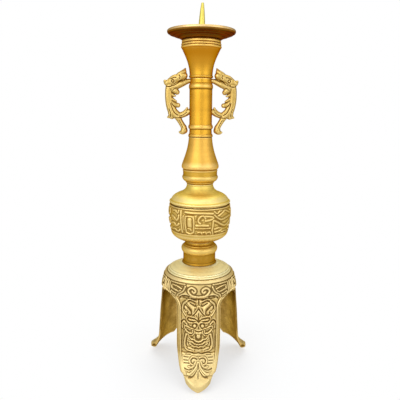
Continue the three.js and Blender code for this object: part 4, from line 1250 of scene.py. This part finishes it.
def swept_limb(points, thickness, sides=14):
    """Corners and faces of a limb. Each point is (out, up, half-width), in millimetres."""
    line = flow(points)
    along = np.gradient(line[:, :2], axis=0)
    along /= np.linalg.norm(along, axis=1)[:, None]
    half = np.maximum(line[:, 2], THINNEST)
    thick = np.minimum(thickness / 2, half * 1.15)
    rings = list(zip(line[:, :2], along, half, thick, np.ones(len(line))))
    caps = []
    for end, way in ((0, -1), (-1, 1)):
        caps.append([(line[end, :2] + way * along[end] * half[end] * reach * 0.9, along[end], half[end],
                      thick[end], size) for reach, size in ((0.95, 0.3), (0.75, 0.66), (0.4, 0.92))])
    rings = caps[0] + rings + caps[1][::-1]
    angle = np.linspace(0, 2 * np.pi, sides, endpoint=False)
    corners = []
    for centre, way, h, t, size in rings:
        side = np.cos(angle) * h * size
        corners.append(np.stack([centre[0] - way[1] * side, np.sin(angle) * t * size,
                                 centre[1] + way[0] * side], -1))
    n = len(rings)
    index = np.arange(n * sides).reshape(n, sides)
    faces = np.stack([index[:-1], np.roll(index, -1, 1)[:-1], np.roll(index, -1, 1)[1:], index[1:]], -1)
    faces = faces.reshape(-1, 4).tolist() + [index[0][::-1].tolist(), index[-1].tolist()]
    return np.vstack(corners), faces


print("a straight limb has", len(swept_limb([(0, 0, 1), (5, 0, 1)], 2)[0]), "corners")

# %% The limbs of a dragon
dragon_limbs = {
    "body": [(21.2, -4.6, 4.2), (22.1, -10, 4.0), (22, -18, 4.1), (20.8, -26, 4.2), (18.4, -32.4, 4.2),
             (14, -36.2, 3.6)],
    "upper jaw": [(20.6, -1.2, 4.4), (16.4, 1.8, 4.8), (12.6, 3.4, 4.5), (9.4, 4.8, 4.3), (6.8, 5.6, 4.0),
                  (5.2, 6.0, 3.7)],
    "snout": [(11, 6.4, 3.0), (8.2, 8.2, 3.0), (6.4, 10, 2.5), (5, 12.2, 1.4), (4.2, 13.6, 0.6)],
    "nose": [(5.8, 3.4, 2.2), (5.6, 7.4, 2.4), (5, 10.6, 1.9)],
    "lower jaw": [(19.6, -6.4, 3.6), (14, -5, 3.4), (9.8, -3.2, 3.4), (6.2, -1.7, 3.0), (2, 0.1, 2.6),
                  (-1.4, 0.8, 2.4)],
    "beard": [(17.6, -8, 3.8), (15.2, -9.6, 3.6), (13, -11.4, 2.8)],
    "horn": [(18.4, -0.6, 3.6), (22.4, -1.4, 3.9), (24.8, -1.2, 3.1), (26.4, 0.2, 1.6)],
    "fin": [(19.6, -29, 3.6), (19.8, -34, 3.4), (21, -36.6, 2.5), (23.4, -37.8, 1.0)],
    "fin lobe": [(18.6, -33.5, 3.3), (19, -37.4, 2.7)],
    "back scale": [(19.4, -13.6, 2.3), (16.4, -15, 1.3), (14.8, -15.2, 0.8)],
    "second scale": [(19, -18.6, 2.5), (15.6, -20.2, 1.5), (13.8, -20.6, 0.8)],
    "mane lock": [(19, -22.4, 3), (15.4, -24.2, 2.7), (12, -25, 2.6)],
    "foreleg": [(18, -27, 2.8), (14.8, -31.6, 2.7), (10.4, -34.8, 2.7), (6, -33.4, 2.6), (3.6, -30.4, 1.9),
                (2.2, -27.4, 1)],
    "claw": [(9.6, -36, 2.8), (5, -34.4, 2.9), (1, -32, 2.9), (-3, -30, 2.7)],
    "tail": [(13.6, -36, 3.6), (10.4, -41, 3.0), (8, -45, 2.9), (6, -48.4, 3.3), (5.6, -51.4, 3.8)],
    "foot": [(5.4, -51.4, 4.0), (7.2, -53, 3.3), (9.2, -53.6, 2.2), (10.6, -53.5, 1.2)],
}
dragon_cuts = {
    "mouth": (0.6, [(2, 2.7), (4.6, 2), (6.4, 0.4), (8.8, 1), (10.6, 0.2), (13, -2.2), (16.4, -4.2),
                    (19, -4.2)]),
    "round the eye": (0.45, [(19.4, 0.2), (17.8, 1.9), (16.1, 0.2), (17.8, -1.5), (19.4, 0.2)]),
    "brow": (0.5, [(13.8, 3.9), (16.4, 3.8), (20, 2.3)]),
    "nose wing": (0.5, [(11, 6.6), (9.8, 4.6), (10.6, 2.6)]),
    "horn root": (0.6, [(26.6, -3.4), (24, -5.4), (20.6, -5.6), (18.2, -4.6)]),
    "cheek": (0.4, [(13, -6.9), (15.6, -7.4), (18, -9.8)]),
    "shoulder": (0.55, [(20, -23), (18.4, -28), (15.8, -32.8), (12.2, -35.4)]),
    "fin": (0.5, [(21.6, -29), (20.3, -33), (20.2, -37)]),
    "foreleg": (0.4, [(10.4, -36.4), (6, -34.8), (2.4, -32)]),
    "root of the tail": (0.5, [(16, -37.6), (12.8, -38.4), (9, -37.6)]),
    "tail": (0.4, [(11, -40.6), (8.4, -45.2), (6.6, -49.4)]),
    "mane": (0.4, [(15.6, -26.6), (17.6, -24.8), (19, -22)]),
}
dragon_cords = {
    "eye": (0.9, [(17.8, 0.2), (17.7, 0.2)]),
    "edge of the back": (0.9, [(24.6, -9), (24.6, -17), (23.4, -25), (21.2, -31)]),
}
print(len(dragon_limbs), "limbs,", len(dragon_cuts), "cuts and", len(dragon_cords), "cords")

# %% Melt them into one skin
CASTING_THICKNESS = 7.6
VOXEL = 0.42


def melted(limbs):
    """One closed mesh made from overlapping limbs, as arrays of corners and faces."""
    corners, faces = [], []
    for points in limbs.values():
        limb_corners, limb_faces = swept_limb(points, CASTING_THICKNESS)
        before = sum(map(len, corners))
        faces += [[corner + before for corner in face] for face in limb_faces]
        corners.append(limb_corners)
    mesh = bpy.data.meshes.new("limbs")
    mesh.from_pydata((np.vstack(corners) * MM).tolist(), [], faces)
    lump = bpy.data.objects.new("limbs", mesh)
    bpy.context.scene.collection.objects.link(lump)
    remesh = lump.modifiers.new("melt", "REMESH")
    remesh.mode = "VOXEL"
    remesh.voxel_size = VOXEL * MM
    soften = lump.modifiers.new("soften", "SMOOTH")
    soften.factor, soften.iterations = 0.5, 4
    skin = bpy.data.meshes.new_from_object(lump.evaluated_get(bpy.context.evaluated_depsgraph_get()))
    places = read(skin.vertices, "co") / MM
    faces = [list(p.vertices) for p in skin.polygons]
    bpy.data.objects.remove(lump)
    bpy.data.meshes.remove(skin)
    return places, faces


def carved_dragon(points):
    """Cuts the lines into both faces of the casting and lays the cords on them."""
    out, flat, up = points.T
    deep = drawn(dragon_cuts, out, up) - 0.35 * drawn(dragon_cords, out, up)
    reach = ramp(np.abs(flat), 0.6, 2.2)
    return np.stack([out, flat - np.sign(flat) * deep * reach, up], -1)


skin, skin_faces = melted(dragon_limbs)
skin = carved_dragon(skin)
print("a dragon has", len(skin), "corners")

# %% Set the dragons against the neck
NECK_RADIUS = 12.3
JAW_HEIGHT = 58.4  # over the foot of the neck
neck_profile = np.array([(0, 12.9), (1.2, 13.4), (3.6, NECK_RADIUS), (8.6, 12.1), (10.4, 13.4),
                         (13.4, NECK_RADIUS), (50.4, NECK_RADIUS), (52.4, 12.96), (53.6, 12.96),
                         (57.2, 11.4), (61.4, 11.4), (62.6, 12.9), (66.3, 12.4)])


def clear_of_neck(points, gap=0.08):
    """Pushes corners that lie inside the neck or the foot of the trumpet out to the surface."""
    reach = np.hypot(points[:, 0], points[:, 1])
    wanted = np.interp(points[:, 2] - neck_seat, *neck_profile.T) + gap
    grow = np.where(reach < wanted, wanted / np.maximum(reach, 1e-6), 1.0)
    return points * np.stack([grow, grow, np.ones(len(grow))], -1)


right_dragon = clear_of_neck(skin + np.array([NECK_RADIUS, 0, neck_seat + JAW_HEIGHT]))
for name, node, turn in (("right_dragon", "right_handle", 1), ("left_dragon", "left_handle", -1)):
    dragon_corners = right_dragon * np.array([turn, turn, 1])
    make_piece(name, dragon_corners, skin_faces, dragon_gold, "stand", [node], "cast_gold", crease=60)

# %% The hidden clamp keeps its CAD shape
for node in ("foot_nut", "foot_washer", "tie_rod", "bridge_washer", "top_nut"):
    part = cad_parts[node]
    for part_slot in part.material_slots:
        part_slot.material = plain_steel
print("steel on the clamp")
